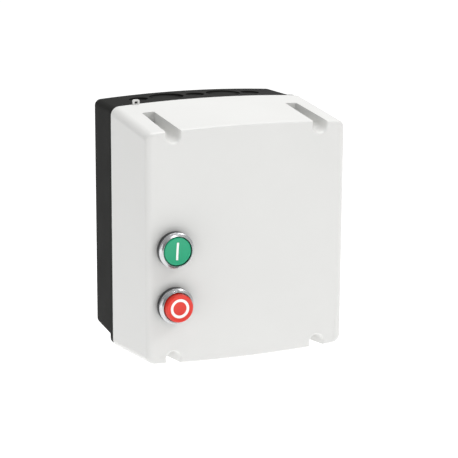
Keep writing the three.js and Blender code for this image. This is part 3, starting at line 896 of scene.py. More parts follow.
@dataclass
class Base:
    """The black rear half of the case: tray, flange, sealing lip, knock-outs, keyholes and pads."""

    half_width: float = 83.5
    half_height: float = 100.0
    crown: float = 3.3
    corner: float = 5.0
    rise: float = 2.1
    flange_rise: float = 1.35
    side_flare: float = 2.0
    end_flare: float = 1.25
    floor: float = 4.0
    flange_rear: float = 46.0
    flange_front: float = 53.5
    flange_half: tuple[float, float] = (87.35, 103.35)
    lip_half: tuple[float, float] = (84.75, 100.25)
    lip_front: float = 60.0
    cavity_half: tuple[float, float] = (81.0, 96.2)
    cavity_rise: float = 1.3
    screw_x: float = SCREW_X
    screw_z: float = SCREW_Z
    column_radius: float = 5.2
    column_front: float = 57.0
    knockout_depth: float = 24.0
    large_xs: tuple[float, ...] = (-26.5, 26.5)
    large_radii: tuple[float, float] = (15.0, 12.75)
    small_xs: tuple[float, ...] = (-52.0, 0.0, 52.0)
    small_radii: tuple[float, float] = (8.2, 6.2)
    recess: float = 1.5
    membrane: float = 1.6
    keyhole: tuple[float, float] = (50.0, 84.0)
    keyhole_drop: float = 4.0
    keyhole_slot: float = 2.75
    keyhole_radius: float = 4.8
    screw_hole: float = 2.3
    screw_seat: float = 5.8
    outside: tuple[float, float] = (82.3, 97.5)
    rear_border: tuple[float, float] = (79.0, 93.0)
    rear_edge: float = 0.9
    flange_edge: float = 0.55
    lip_edge: float = 0.35
    knockout_edge: float = 0.3
    keyhole_edge: float = 0.25
    rib_half: float = 0.8
    upright_rib_xs: tuple[float, ...] = (-8.0, 8.0, 70.0)
    level_rib_zs: tuple[float, ...] = (-84.0, 66.0, 80.0)
    border_xs: tuple[float, ...] = (-77.0, -40.0, 40.0, 77.0)
    border_zs: tuple[float, ...] = (-94.0, -68.0, 70.0, 96.0)

    def surface(self, x: float, side: int) -> float:
        """The height of the outer wall above or below the middle, where the knock-outs are.

        Args:
            x: Where, across.
            side: 1 for the top, -1 for the bottom.

        Returns:
            The height.
        """
        along = self.knockout_depth / self.flange_rear
        arch = self.crown * (1 - (x / self.half_width) ** 2)
        rise = self.rise + (self.flange_rise - self.rise) * along
        return side * (self.half_height + arch + self.end_flare * along) + rise

    def knockout(self, x: float, side: int, radii: Sequence[float]) -> list[BMesh]:
        """The cuts of one knock-out: recess, thinned wall, and a groove around the disc to break along.

        Args:
            x: Where its middle is, across.
            side: 1 for the top, -1 for the bottom.
            radii: The radii of the recess and of the disc.

        Returns:
            The solids to cut from the base.
        """
        rim, disc = radii
        floor = self.surface(x, side) - side * self.recess
        depth = self.knockout_depth
        groove = boolean(
            upright_rod(x, depth, disc + 0.45, (floor - side * 0.5, floor + side * 0.4)),
            "DIFFERENCE",
            upright_rod(x, depth, disc - 0.35, (floor - side * 0.7, floor + side * 0.6)),
        )
        return [
            upright_rod(x, depth, rim, (floor, floor + side * (self.recess + 4))),
            upright_rod(x, depth, disc, (floor - side * self.membrane, floor - side * 12)),
            groove,
        ]

    def shell(self) -> BMesh:
        """The tray with its flange, lip and cavity."""
        reach = self.flange_rear + 4
        share = reach / self.flange_rear
        tray = CrownedBlock(
            self.half_width, self.half_height, self.crown, self.corner, 0, reach,
            1 + self.side_flare * share / self.half_width, 1 + self.end_flare * share / self.half_height,
            self.rise, self.rise + (self.flange_rise - self.rise) * share,
        ).build()
        flange_depths = (self.flange_rear, self.flange_front)
        flange = CrownedBlock(*self.flange_half, self.crown, self.corner, *flange_depths).build()
        lip = CrownedBlock(*self.lip_half, self.crown, self.corner - 2, reach, self.lip_front).build()
        cavity = CrownedBlock(
            *self.cavity_half, self.crown, self.corner - 3, self.floor, self.lip_front + 1,
            rise=self.cavity_rise, front_rise=self.cavity_rise,
        ).build()
        return boolean(boolean(tray, "UNION", flange, lip), "DIFFERENCE", cavity)

    def inner_parts(self) -> list[BMesh]:
        """Columns with their webs, pads under the devices and stiffening ribs on the floor."""
        rear = self.floor - 1
        parts = []
        for x, z in case_corners(self.screw_x, self.screw_z):
            side, up = math.copysign(1, x), math.copysign(1, z)
            parts.append(rod(x, z, self.column_radius, (rear, self.column_front), 32))
            parts.append(block((x, side * 82), (rear, self.column_front - 4), (z - 1, z + 1)))
            parts.append(block((x - 1, x + 1), (rear, self.column_front - 4), (z, up * 98.5)))
        parts += [block((x - 6, x + 6), (rear, 7), (21.5, 41.5)) for x in RAIL_SCREW_XS]
        parts.append(block((-67, -23), (rear, 9.7), (-59, -29)))
        parts.append(block((15, 55), (rear, 12), (-78, -66)))
        half = self.rib_half
        parts += [block((x - half, x + half), (rear, 6.5), (-88, 90)) for x in self.upright_rib_xs]
        parts += [block((-80, 80), (rear, 6.2), (z - half, z + half)) for z in self.level_rib_zs]
        return parts

    def cuts(self) -> list[BMesh]:
        """Screw holes, keyholes and knock-outs."""
        cuts = []
        for x, z in case_corners(self.screw_x, self.screw_z):
            cuts.append(rod(x, z, self.screw_hole, (self.lip_front - 20, self.lip_front), 24))
            cuts.append(rod(x, z, self.screw_seat, (self.column_front, self.lip_front + 1), 40))
        through = (-1, self.floor + 3)
        for x, z in case_corners(*self.keyhole):
            half, low = self.keyhole_slot, z - self.keyhole_drop
            slot = block((x - half, x + half), through, (low, z + half))
            cuts.append(boolean(slot, "UNION", rod(x, low, self.keyhole_radius, through, 32)))
        cuts += [rod(x, RAIL_Z, self.screw_hole, (1.5, 8), 24) for x in RAIL_SCREW_XS]
        cuts += [rod(x, EARTH_Z, self.screw_hole, (3, 13), 24) for x in EARTH_SCREW_XS]
        for side in (1, -1):
            for xs, radii in ((self.large_xs, self.large_radii), (self.small_xs, self.small_radii)):
                for x in xs:
                    cuts += self.knockout(x, side, radii)
        return cuts

    def edge_radius(self, edge: BMEdge) -> float:
        """The rounding of one edge: soft outside, crisp inside.

        Args:
            edge: The edge.

        Returns:
            The radius in metres, or 0 to leave the edge as it is.
        """
        if fold(edge) < 30 or not edge.is_convex:
            return 0.0
        middle = (edge.verts[0].co + edge.verts[1].co) / MM / 2
        depth = -middle.y
        across, height = abs(middle.x), abs(middle.z)
        outside = across > self.outside[0] or height > self.outside[1]
        if depth < 0.01:
            around = across > self.rear_border[0] or height > self.rear_border[1]
            return self.rear_edge * MM if around else self.keyhole_edge * MM
        if outside and (abs(depth - self.flange_rear) < 0.01 or abs(depth - self.flange_front) < 0.01):
            return self.flange_edge * MM
        if outside and abs(depth - self.lip_front) < 0.01:
            return self.lip_edge * MM
        on_knockout = height > 98 and depth < self.flange_rear - 1
        return self.knockout_edge * MM if on_knockout else 0.0

    def build(self) -> None:
        """Makes the base."""
        body = boolean(self.shell(), "UNION", *self.inner_parts())
        body = boolean(body, "DIFFERENCE", *self.cuts())
        body = soften(body, self.edge_radius, segments=3)
        level_shading(body, self.border_xs, self.border_zs)
        add_piece(body, "base_moulding", "base", Look.BASE, ["base_tray"], smooth=35)


@dataclass
class Gasket:
    """The rubber seal between base and cover, with rounded edges."""

    outer: tuple[float, float] = (87.05, 103.05)
    inner: tuple[float, float] = (85.1, 100.6)
    depths: tuple[float, float] = (53.8, 55.2)
    crown: float = 3.3
    corners: tuple[float, float] = (6.0, 5.0)

    def build(self) -> None:
        """Makes the gasket."""
        rear, front = self.depths
        body = CrownedBlock(*self.outer, self.crown, self.corners[0], rear, front).build()
        hollow = CrownedBlock(*self.inner, self.crown, self.corners[1], rear - 1, front + 1).build()
        body = boolean(body, "DIFFERENCE", hollow)
        body = soften(body, lambda edge: 0.3 * MM if fold(edge) > 60 else 0.0, segments=3)
        add_piece(body, "rim_gasket_seal", "base", Look.RUBBER, ["rim_gasket"])


@dataclass
class Screw:
    """A slotted cheese-head screw along the depth, with a rounded head and a threaded shank."""

    x: float
    z: float
    tip: float
    head_rear: float
    head_radius: float = 4.0
    head_height: float = 2.8
    shank_radius: float = 1.95
    pitch: float = 0.8
    slot_width: float = 1.1
    slot_depth: float = 1.3
    crossed: bool = False

    def profile(self) -> list[tuple[float, float]]:
        """The section: a pointed tip, thread crests, the shank and the head."""
        points = [
            (0.0, self.tip), (self.shank_radius - 0.5, self.tip), (self.shank_radius - 0.3, self.tip + 0.5)
        ]
        depth = self.tip + 0.8
        while depth < self.head_rear - 1.5:
            points.append((self.shank_radius, depth))
            points.append((self.shank_radius - 0.28, depth + self.pitch / 2))
            depth += self.pitch
        front = self.head_rear + self.head_height
        points += [
            (self.shank_radius, self.head_rear - 0.6), (self.shank_radius, self.head_rear),
            (self.head_radius - 0.2, self.head_rear), (self.head_radius, self.head_rear + 0.2),
            (self.head_radius, front - 0.9), (self.head_radius - 0.3, front - 0.35),
            (self.head_radius - 0.9, front - 0.08), (0.0, front),
        ]
        return points

    def mesh(self) -> BMesh:
        """The screw with its slot, and a cross recess when it has one."""
        front = self.head_rear + self.head_height
        depths = (front - self.slot_depth, front + 1)
        long = self.head_radius + 1
        half = self.slot_width / 2
        slots = [block((self.x - half, self.x + half), depths, (self.z - long, self.z + long))]
        if self.crossed:
            reach = self.head_radius * 0.55
            slots.append(block((self.x - reach, self.x + reach), depths, (self.z - half, self.z + half)))
        body = boolean(turned(self.x, self.z, self.profile(), 40), "DIFFERENCE", *slots)
        return soften(body, self.edge_radius, segments=2)

    def edge_radius(self, edge: BMEdge) -> float:
        """Breaks the edges of the slot.

        Args:
            edge: The edge.

        Returns:
            The radius in metres, or 0 to leave the edge as it is.
        """
        front = self.head_rear + self.head_height
        depth = -(edge.verts[0].co.y + edge.verts[1].co.y) / 2 / MM
        return 0.1 * MM if fold(edge) > 50 and depth > front - 0.5 else 0.0

    def build(self, name: str, body: str, replaces: Sequence[str] = (), look: Look = Look.ZINC) -> None:
        """Makes the piece."""
        add_piece(self.mesh(), name, body, look, replaces, smooth=38)


class CoverScrews:
    """The four captive screws at the ends of the cover's channels."""

    names: tuple[str, ...] = ("top_left", "top_right", "bottom_left", "bottom_right")
    tip: float = 44.0
    head_rear: float = 81.8

    def build(self) -> None:
        """Makes the screws."""
        for name, (x, z) in zip(self.names, case_corners(SCREW_X, SCREW_Z)):
            screw = Screw(x, z, self.tip, self.head_rear, crossed=True)
            screw.build(f"captive_screw_{name}", "cover", [f"cover_screw_{name}"])


# ------------------------------------------------------------------ push buttons


class Mark(Enum):
    """The white inlay in a button's cap."""

    BAR = "bar"
    RING = "ring"


@dataclass
class PushButton:
    """A 22 mm push button: chromed bezel, seal, nut, spring, stem, cap and inlaid mark."""

    name: str
    x: float
    z: float
    cap_front: float
    look: Look
    mark: Mark
    face: float = COVER_FRONT
    bezel_radius: float = 15.05
    bezel_front: float = 150.35
    cone_height: float = 2.9
    cap_radius: float = 11.65
    cap_rear: float = 147.4
    cap_edge: float = 1.1
    cup_floor: float = 141.6
    neck_rear: float = 121.5
    dish: float = 0.8
    knurls: int = 72
    knurl_height: float = 0.16
    bar_size: tuple[float, float] = (1.9, 14.5)
    bar_tilt: float = 3.5
    ring_radii: tuple[float, float] = (5.7, 8.0)
    mark_thickness: float = 0.5
    pocket_depth: float = 0.8
    mark_gap: float = 0.06
    mark_drop: float = 0.02
    travel: float = 5.5

    def bezel(self) -> None:
        """The chromed bezel: a plain skirt, a cone with a knurled band and a thin lip around the cap."""
        radius, front, base = self.bezel_radius, self.bezel_front, self.face + 1.1
        shoulder = front - self.cone_height
        turns = [math.radians(10 * i) for i in range(8)]
        rim = [(radius - 0.6 + 0.6 * math.cos(a), shoulder - 0.1 + 0.6 * math.sin(a)) for a in turns]
        profile = [
            (4.5, self.neck_rear), (10.9, self.neck_rear), (10.9, base), (12.8, base),
            (12.8, shoulder - 1.2), (radius - 0.3, shoulder - 1.2), (radius, shoulder - 0.9),
            *rim, (14.2, shoulder + 0.7),
            (13.3, shoulder + 1.4), (12.95, front - 0.7), (12.8, front - 0.25), (12.5, front),
            (12.2, front - 0.25), (12.15, self.cup_floor + 0.3), (11.9, self.cup_floor),
            (8.3, self.cup_floor), (8.3, self.neck_rear + 2), (4.5, self.neck_rear + 2),
            (4.5, self.neck_rear),
        ]
        bm = turned(self.x, self.z, profile, steps=2 * self.knurls)
        middle = Vector((self.x * MM, 0, self.z * MM))
        for vert in bm.verts:
            away = vert.co - middle
            depth = -away.y / MM
            away.y = 0
            on_band = shoulder + 0.6 < depth < front - 0.5 and away.length > 12.7 * MM
            if on_band:
                step = round(math.atan2(away.z, away.x) / math.tau * 2 * self.knurls)
                vert.co += away.normalized() * (self.knurl_height * MM * (1 if step % 2 else -1))
        add_piece(bm, f"{self.name}_bezel_ring", "cover", Look.CHROME, [f"{self.name}_bezel"], smooth=50)
        skirt = [
            (12.9, base), (14.0, base), (14.45, base + 0.25), (14.6, base + 0.7), (14.6, base + 1.3),
            (radius, base + 1.6), (radius, shoulder - 1.5), (radius - 0.2, shoulder - 1.3),
            (12.9, shoulder - 1.3), (12.9, base),
        ]
        side = turned(self.x, self.z, skirt, 2 * self.knurls)
        # the skirt takes the darkened chrome: painted shade for the shadow and dark reflections on the
        # bezel's side
        add_piece(side, f"{self.name}_bezel_skirt", "cover", Look.CHROME_PAINTED_SHADE, smooth=40)

    def cap(self) -> None:
        """The slightly dished cap, with a pocket for its mark."""
        radius, front, rounding = self.cap_radius, self.cap_front, self.cap_edge
        edge = [
            (radius - rounding + rounding * math.cos(a), front - rounding + rounding * math.sin(a))
            for a in (math.radians(15 * i) for i in range(7))
        ]
        shares = (0.9, 0.8, 0.7, 0.6, 0.5, 0.4, 0.3, 0.2, 0.1)
        hollow = [(radius * share, front - self.sink(radius * share)) for share in shares]
        profile = [
            (0, self.cap_rear), (radius - 0.2, self.cap_rear), (radius, self.cap_rear + 0.2),
            *edge, *hollow, (0, front - self.dish),
        ]
        body = turned(self.x, self.z, profile, steps=96)
        pocket = self.mark_shape(self.mark_gap, front - self.pocket_depth, front + 1)
        body = boolean(body, "DIFFERENCE", pocket)
        name, rider = f"{self.name}_cap_moulding", f"{self.name}_button"
        add_piece(body, name, rider, self.look, [f"{self.name}_cap"], smooth=50)

    def sink(self, radius: float) -> float:
        """How far the dished face lies behind the cap's rim at some radius."""
        return self.dish * (1 - min(1.0, radius / (self.cap_radius - self.cap_edge)) ** 2)

    def mark_shape(self, margin: float, rear: float, front: float) -> BMesh:
        """The mark's solid, sunk with the dish and larger by a margin for its pocket.

        Args:
            margin: How much larger it is all round.
            rear: The depth of its rear face.
            front: The depth of its front face.

        Returns:
            The solid.
        """
        draw = self.ring_mark if self.mark is Mark.RING else self.bar_mark
        bm = draw(margin, rear, front)
        for vert in bm.verts:
            vert.co.y += self.sink(math.hypot(vert.co.x / MM - self.x, vert.co.z / MM - self.z)) * MM
        return bm

    def ring_mark(self, margin: float, rear: float, front: float) -> BMesh:
        """A ring, before it is sunk."""
        inner, outer = self.ring_radii
        return turned(self.x, self.z, ring(inner - margin, outer + margin, rear, front), 96)

    def bar_mark(self, margin: float, rear: float, front: float) -> BMesh:
        """A bar with rounded corners that leans a little, before it is sunk.

        Args:
            margin: How much larger it is all round.
            rear: The depth of its rear face.
            front: The depth of its front face.

        Returns:
            The bar.
        """
        width, height = (size / 2 + margin for size in self.bar_size)
        bm = block((-width, width), (rear, front), (-height, height))
        corners = [e for e in bm.edges if abs(e.verts[0].co.y - e.verts[1].co.y) > SAME_PLACE]
        bmesh.ops.bevel(
            bm, geom=corners, offset=0.35 * MM, segments=4, profile=0.5, affect="EDGES", material=-1
        )
        for i in range(1, 8):
            level = (0, 0, height * (i / 4 - 1) * MM)
            geom = bm.verts[:] + bm.edges[:] + bm.faces[:]
            bmesh.ops.bisect_plane(bm, geom=geom, plane_co=level, plane_no=(0, 0, 1), dist=MERGE)
        turn = Matrix.Rotation(math.radians(self.bar_tilt), 4, "Y")
        place = Matrix.Translation((self.x * MM, 0, self.z * MM)) @ turn
        bmesh.ops.transform(bm, matrix=place, verts=bm.verts)
        return bm

    def inlay(self) -> None:
        """The white mark, just under the dished face."""
        front = self.cap_front - self.mark_drop
        body = self.mark_shape(0, front - self.mark_thickness, front)
        body = soften(body, lambda edge: 0.08 * MM if fold(edge) > 50 else 0.0, segments=2)
        add_piece(body, f"{self.name}_inlay", f"{self.name}_button", Look.WHITE, [f"{self.name}_mark"])

    def hidden_parts(self) -> None:
        """Seal, lock nut, stem and spring."""
        x, z, face = self.x, self.z, self.face
        seal = turned(x, z, ring(11.4, 13.9, face + 0.3, face + 0.8, 0.12), 72)
        add_piece(seal, f"{self.name}_seal_ring", "cover", Look.RUBBER, [f"{self.name}_seal"])
        nut_front = face - 3.3
        nut = rod(x, z, 15.2, (nut_front - 5, nut_front), 8)
        grooves = [
            block((x - 20, x + 20), (nut_front - 3.2, nut_front - 1.8), (z + side * 13.6, z + side * 20))
            for side in (-1, 1)
        ]
        start, end = nut_front - 6, nut_front + 1
        bore = turned(x, z, [(0, start), *self.thread(11.2, start, end), (0, end)], 72)
        nut = boolean(nut, "DIFFERENCE", bore, *grooves)
        nut = soften(nut, lambda edge: 0.5 * MM if self.is_rim(edge, 12.5) else 0.0)
        add_piece(nut, f"{self.name}_ring_nut", "cover", Look.BLACK, [f"{self.name}_lock_nut"], smooth=30)
        shoulder = face - 2
        stem = turned(
            x, z,
            [(0, 103.3), (3.3, 103.3), (3.8, 103.5), (4, 104), (4, shoulder - 6), (4.4, shoulder - 5.5),
             (4.4, shoulder), (7.5, shoulder), (7.9, shoulder + 0.4), (7.9, 146.8), (7.6, 147.1),
             (0, 147.1)],
            64,
        )
        name, rider = f"{self.name}_stem_moulding", f"{self.name}_button"
        add_piece(stem, name, rider, Look.BLACK, [f"{self.name}_stem"], smooth=40)
        rear, front = self.neck_rear + 2.3, shoulder - 0.3
        spring = coil(x, z, 6.1, 1.2, (rear, front), 6)
        piece = add_piece(spring, f"{self.name}_return_spring", "cover", Look.ZINC, [f"{self.name}_spring"])
        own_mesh(piece)

    def is_rim(self, edge: BMEdge, radius: float) -> bool:
        """Whether a sharp edge lies further out than some radius."""
        middle = (edge.verts[0].co + edge.verts[1].co) / 2 / MM
        return fold(edge) > 30 and math.hypot(middle.x - self.x, middle.z - self.z) > radius

    @staticmethod
    def thread(radius: float, rear: float, front: float) -> list[tuple[float, float]]:
        """A bore's section with thread crests, between two depths.

        Args:
            radius: The bore's radius.
            rear: The depth it starts at.
            front: The depth it ends at.

        Returns:
            Radius and depth of each corner.
        """
        points = []
        for i in range(int(front - rear)):
            points.append((radius, rear + i))
            points.append((radius + 0.35, rear + i + 0.5))
        return [*points, (radius, front)]

    def build(self) -> None:
        """Makes the button."""
        self.bezel()
        self.cap()
        self.inlay()
        self.hidden_parts()


BUTTONS = (
    PushButton("start", BUTTON_X, START_Z, 150.1, Look.GREEN, Mark.BAR),
    PushButton("stop", BUTTON_X, STOP_Z, 155.1, Look.RED, Mark.RING),
)


# ------------------------------------------------------------------ inside


class Interior:
    """The rail, the earth bar and the devices: softened copies of the CAD solids with added detail."""

    poles: tuple[float, ...] = (-50.5, -37.0, -23.5)
    barrier_xs: tuple[float, ...] = (-43.75, -30.25)
    rail_slot_xs: tuple[float, ...] = (-56, -31, -6, 19, 44)
    earth_clamp_xs: tuple[float, ...] = (28.5, 41.5)
    terminal_offset: float = 33
    armature_spring_depths: tuple[float, float] = (38.3, 50.1)
    armature_travel: float = 5.5
    block_terminal_x: float = -67.5
    block_terminal_zs: tuple[float, ...] = (21, 35, 49)
    motor_terminal_z: float = -69
    dial: tuple[float, float] = (-31, -30)
    dial_flute_radius: float = 6.9
    test_button: tuple[float, float] = (-31, -52)

    def soft_copy(
        self, node: str, look: Look, radius: float = 0.3, body: str = "base", *cuts: BMesh
    ) -> None:
        """Copies a CAD node, cuts what it has in fine detail and breaks its edges.

        Args:
            node: The CAD node.
            look: Its finish.
            radius: The rounding of its edges in millimetres.
            body: The body it rides on.
            cuts: Extra cuts.
        """
        bm = cad_copy(node)
        if cuts:
            bm = boolean(bm, "DIFFERENCE", *cuts)
        if radius:
            bm = soften(
                bm, lambda edge: radius * MM if fold(edge) > 35 and edge.is_convex else 0.0, 2, clamp=True
            )
        add_piece(bm, f"{node}_part", body, look, [node], smooth=35)

    def rail(self) -> None:
        """The top-hat rail with its row of oblong slots."""
        slots = [
            block((x - 7.5, x + 7.5), (5, 12), (RAIL_Z - 3.1, RAIL_Z + 3.1))
            for x in self.rail_slot_xs
        ]
        self.soft_copy("din_rail", Look.ZINC, 0.2, "base", *slots)
        for name, x in zip(("left", "right"), RAIL_SCREW_XS):
            screw = Screw(x, RAIL_Z, 2.0, 8.6, head_height=2.4, crossed=True)
            screw.build(f"rail_fixing_{name}", "base", [f"rail_screw_{name}"])

    def earth(self) -> None:
        """The brass earth bar, the two screws that hold it and its two clamping screws."""
        z = EARTH_Z
        self.soft_copy("earth_bar", Look.BRASS, 0.4)
        for name, x in zip(("left", "right"), EARTH_SCREW_XS):
            screw = Screw(x, z, 4.0, 20.3, head_radius=3.8, head_height=2.4, crossed=True)
            screw.build(f"earth_fixing_{name}", "base", [f"earth_screw_{name}"])
        for i, x in enumerate(self.earth_clamp_xs, start=1):
            clamp = Screw(
                x, z, 16.5, 20.2, head_radius=2.6, head_height=1.6, shank_radius=1.6, slot_width=0.8
            )
            clamp.build(f"earth_clamp_{i}", "base", look=Look.BRASS)

    def contactor(self) -> None:
        """Housings, magnet, coil, contacts, terminal screws and return spring."""
        z = RAIL_Z
        sides = (-1, 1)
        barriers = [
            block((x - 0.6, x + 0.6), (76, 82), (z + s * 22, z + s * 42))
            for x in self.barrier_xs
            for s in sides
        ]
        vents = [
            block((x - 0.5, x + 0.5), (94.6, 98), (z + s * 8, z + s * 17))
            for x in range(-55, -17, 3)
            for s in sides
        ]
        label = [block((-56, -18), (95.4, 98), (z - 6.6, z + 6.6))]
        self.soft_copy("contactor_upper_housing", Look.LIGHT, 0.35, "base", *barriers, *vents, *label)
        ribs = [
            block((x, x + 1), (14 + 4 * i, 15.6 + 4 * i), (z - 45, z + 45))
            for i in range(8)
            for x in (-60.5, -15.5)
        ]
        self.soft_copy("contactor_lower_housing", Look.DARK, 0.35, "base", *ribs)
        self.soft_copy("magnet_core", Look.IRON, 0.15)
        self.soft_copy("coil_bobbin", Look.BLACK, 0.15)
        self.soft_copy("coil_winding", Look.WINDING, 0.4)
        moving = "armature_body"
        self.soft_copy("magnet_armature", Look.IRON, 0.15, moving)
        self.soft_copy("contact_carrier", Look.BLACK, 0.3, moving)
        for i, x in enumerate(self.poles, start=1):
            self.soft_copy(f"moving_bridge_{i}", Look.COPPER, 0.15, moving)
            for side, s in (("line", 1), ("load", -1)):
                self.soft_copy(f"{side}_contact_{i}", Look.COPPER, 0.15)
                screw = self.terminal_screw(x, z + s * self.terminal_offset, 56, 63.8)
                screw.build(f"{side}_terminal_{i}", "base", [f"{side}_screw_{i}"])
        middle = self.poles[1]
        rear, front = self.armature_spring_depths
        spring = coil(middle, z, 12.2, 1.1, (rear, front), 3)
        piece = add_piece(spring, "armature_return_spring", "base", Look.ZINC, ["armature_spring"])
        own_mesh(piece)

    @staticmethod
    def terminal_screw(x: float, z: float, tip: float, head_rear: float) -> Screw:
        """A clamping screw for a main terminal."""
        return Screw(x, z, tip, head_rear, head_radius=3.7, head_height=2.6, shank_radius=1.9, crossed=True)

    def start_block(self) -> None:
        """The contact block behind the start button, with its terminals and plunger."""
        grooves = [block((-76, -59), (93, 95), (z - 0.5, z + 0.5)) for z in (14, 42)]
        x = self.block_terminal_x
        wells = [rod(x, z, 3.6, (88, 98), 32) for z in self.block_terminal_zs]
        self.soft_copy("start_contact_block", Look.DARK, 0.35, "base", *grooves, *wells)
        for i, z in enumerate(self.block_terminal_zs, start=1):
            screw = Screw(
                x, z, 88.4, 90.2, head_radius=3.1, head_height=2.2, shank_radius=1.6, crossed=True
            )
            screw.build(f"start_block_terminal_{i}", "base")
        self.plunger("start_plunger", START_Z, "start_plunger_body", Look.BLACK)

    def plunger(self, node: str, z: float, body: str, look: Look) -> None:
        """A round plunger with a domed end and a groove.

        Args:
            node: The CAD node it stands for.
            z: Where it is, in height.
            body: The body it rides on.
            look: Its finish.
        """
        profile = [
            (0, 86), (3.7, 86), (4, 86.3), (4, 97.5), (3.6, 97.9), (3.6, 98.9), (4, 99.3), (4, 101.6),
            (3.8, 102.3), (3.2, 102.8), (1.6, 103), (0, 103),
        ]
        add_piece(turned(BUTTON_X, z, profile, 56), f"{node}_pin", body, look, [node], smooth=40)

    def relay(self) -> None:
        """The overload relay with its dial, reset plunger, test button and motor terminals."""
        grooves = [block((x - 0.6, x + 0.6), (72, 96), (-77, -62)) for x in self.barrier_xs]
        window = [block((-57, -45), (93.4, 96), (-40, -22))]
        ticks = [self.tick(angle) for angle in range(-120, 121, 30)]
        self.soft_copy("relay_housing", Look.DARK, 0.35, "base", *grooves, *window, *ticks)
        self.soft_copy("relay_back_plate", Look.DARK, 0.3)
        for i, x in enumerate(self.poles, start=1):
            self.soft_copy(f"relay_prong_{i}", Look.COPPER, 0.2)
            self.terminal_screw(x, self.motor_terminal_z, 66.4, 70.5).build(f"motor_terminal_{i}", "base")
        self.soft_copy("current_dial", Look.WHITE, 0.3, "dial_body", *self.dial_flutes())
        self.plunger("relay_reset_plunger", STOP_Z, "reset_plunger_body", Look.BLUE)
        profile = [(0, 90), (2.3, 90), (2.5, 90.2), (2.5, 97.3), (2.2, 97.8), (1.2, 98), (0, 98)]
        test = turned(*self.test_button, profile, 40)
        add_piece(test, "test_button_cap", "test_button_body", Look.RED, ["relay_test_button"], smooth=40)

    def tick(self, angle: float) -> BMesh:
        """A short engraved line beside the dial.

        Args:
            angle: Its direction from the dial's middle, in degrees.

        Returns:
            The cut.
        """
        bm = block((-0.25, 0.25), (94.6, 96), (8.0, 10.0))
        turn = Matrix.Rotation(math.radians(angle), 4, "Y")
        x, z = self.dial
        bmesh.ops.transform(bm, matrix=Matrix.Translation((x * MM, 0, z * MM)) @ turn, verts=bm.verts)
        return bm

    def dial_flutes(self) -> list[BMesh]:
        """Grip notches around the dial's rim."""
        x, z = self.dial
        reach = self.dial_flute_radius
        angles = [math.tau * (i + 0.5) / 12 for i in range(12)]
        return [rod(x + reach * math.cos(a), z + reach * math.sin(a), 0.7, (95.2, 98), 12) for a in angles]

    def build(self) -> None:
        """Makes everything inside."""
        self.rail()
        self.earth()
        self.contactor()
        self.start_block()
        self.relay()


# ------------------------------------------------------------------ studio


@dataclass(frozen=True)
class SoftLight:
    """A square area light that looks at the case."""

    name: str
    place: tuple[float, float, float]
    size: float
    power: float

    def build(self) -> None:
        """Makes the light."""
        data = bpy.data.lights.new(self.name, "AREA")
        data.size = self.size
        data.energy = self.power
        item = bpy.data.objects.new(self.name, data)
        item.location = self.place
        item.rotation_euler = (-Vector(self.place)).to_track_quat("-Z", "Y").to_euler()
        bpy.context.scene.collection.objects.link(item)


LIGHTS = (
    SoftLight("key", (1.2, -1.3, 1.3), 0.35, 7.7),
    SoftLight("fill", (-1.5, -1.1, 0.1), 1.0, 3.4),
    SoftLight("top", (0.1, 0.1, 1.8), 1.0, 20),
)


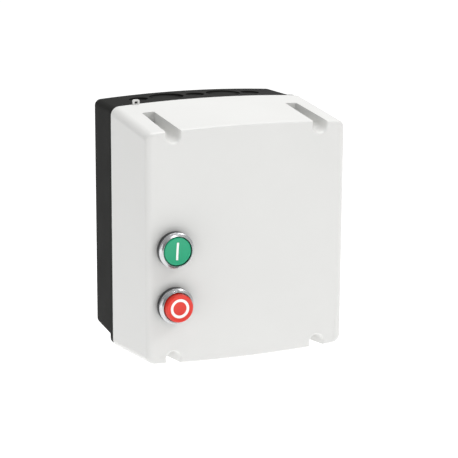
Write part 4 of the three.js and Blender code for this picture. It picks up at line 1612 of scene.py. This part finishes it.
@dataclass
class Studio:
    """Camera, soft lights and a pale floor."""

    azimuth: float = 23.12
    elevation: float = 13.4
    roll: float = 0.3
    distance: float = 1.62
    lens_mm: float = 140.7
    target: tuple[float, float, float] = (0.0432, 0.0, -0.0238)
    farthest: float = 20
    sky_towards: tuple[float, float, float] = (0.75, -0.1, 0.65)
    sky_spread: float = 0.75
    sky_levels: tuple[float, float] = (0.2, 0.7)
    floor_level: float = -0.4
    floor_reach: float = 14
    floor_white: float = 0.93
    floor_roughness: float = 0.9
    floor_glow: float = 0.5

    def place_camera(self) -> None:
        """Stands the camera to the left of the case and a little above it."""
        turn, lift, roll = (math.radians(a) for a in (self.azimuth, self.elevation, self.roll))
        back = Vector((-math.sin(turn) * math.cos(lift), -math.cos(turn) * math.cos(lift), math.sin(lift)))
        right = Vector((math.cos(turn), -math.sin(turn), 0))
        level = Matrix((right, back.cross(right), back)).transposed()
        spin = Matrix.Rotation(roll, 3, "Z")
        camera = bpy.data.objects.new("camera", bpy.data.cameras.new("camera"))
        camera.data.lens = self.lens_mm
        camera.data.sensor_width = SENSOR_MM
        camera.data.clip_end = self.farthest
        place = Matrix.Translation(Vector(self.target) + back * self.distance)
        camera.matrix_world = place @ (level @ spin).to_4x4()
        bpy.context.scene.collection.objects.link(camera)
        bpy.context.scene.camera = camera

    def light_room(self) -> None:
        """Surrounds the case with soft light: bright above and to the right, dim low on the left."""
        world = bpy.data.worlds.new("studio")
        world.use_nodes = True
        tree = world.node_tree
        tree.nodes.clear()
        towards = add_node(tree, "ShaderNodeTexCoord").outputs["Generated"]
        bright = Vector(self.sky_towards).normalized()
        along = add_node(tree, "ShaderNodeVectorMath", {0: towards, 1: bright}, operation="DOT_PRODUCT")
        links = {
            "Value": along.outputs["Value"],
            "From Min": -self.sky_spread,
            "From Max": self.sky_spread,
            "To Min": self.sky_levels[0],
            "To Max": self.sky_levels[1],
        }
        levels = add_node(tree, "ShaderNodeMapRange", links, interpolation_type="SMOOTHSTEP")
        level = levels.outputs["Result"]
        sky = add_node(tree, "ShaderNodeBackground", {"Color": (1, 1, 1, 1), "Strength": level})
        add_node(tree, "ShaderNodeOutputWorld", {"Surface": sky.outputs["Background"]})
        bpy.context.scene.world = world

    def lay_floor(self) -> None:
        """Lays a plain floor, bright enough to read as white."""
        bm = bmesh.new()
        bmesh.ops.create_grid(bm, x_segments=1, y_segments=1, size=self.floor_reach)
        bmesh.ops.translate(bm, vec=(0, 0, self.floor_level), verts=bm.verts)
        floor = to_object(bm, "floor")
        material = bpy.data.materials.new("pale_floor")
        material.use_nodes = True
        shader = material.node_tree.nodes["Principled BSDF"]
        shader.inputs["Base Color"].default_value = (*[self.floor_white] * 3, 1)
        shader.inputs["Roughness"].default_value = self.floor_roughness
        shader.inputs["Emission Color"].default_value = (1, 1, 1, 1)
        shader.inputs["Emission Strength"].default_value = self.floor_glow
        floor.data.materials.append(material)

    def build(self) -> None:
        """Makes the whole studio."""
        bpy.context.scene.view_settings.view_transform = "Standard"
        self.place_camera()
        self.light_room()
        for light in LIGHTS:
            light.build()
        self.lay_floor()


def main() -> None:
    """Builds the starter and its studio."""
    logging.basicConfig(level=logging.INFO, format="%(message)s")
    Studio().build()
    for part in (Cover(), Base(), Gasket(), CoverScrews(), *BUTTONS, Interior()):
        part.build()
        LOG.info("%s done", type(part).__name__)


if __name__ == "__main__":
    main()
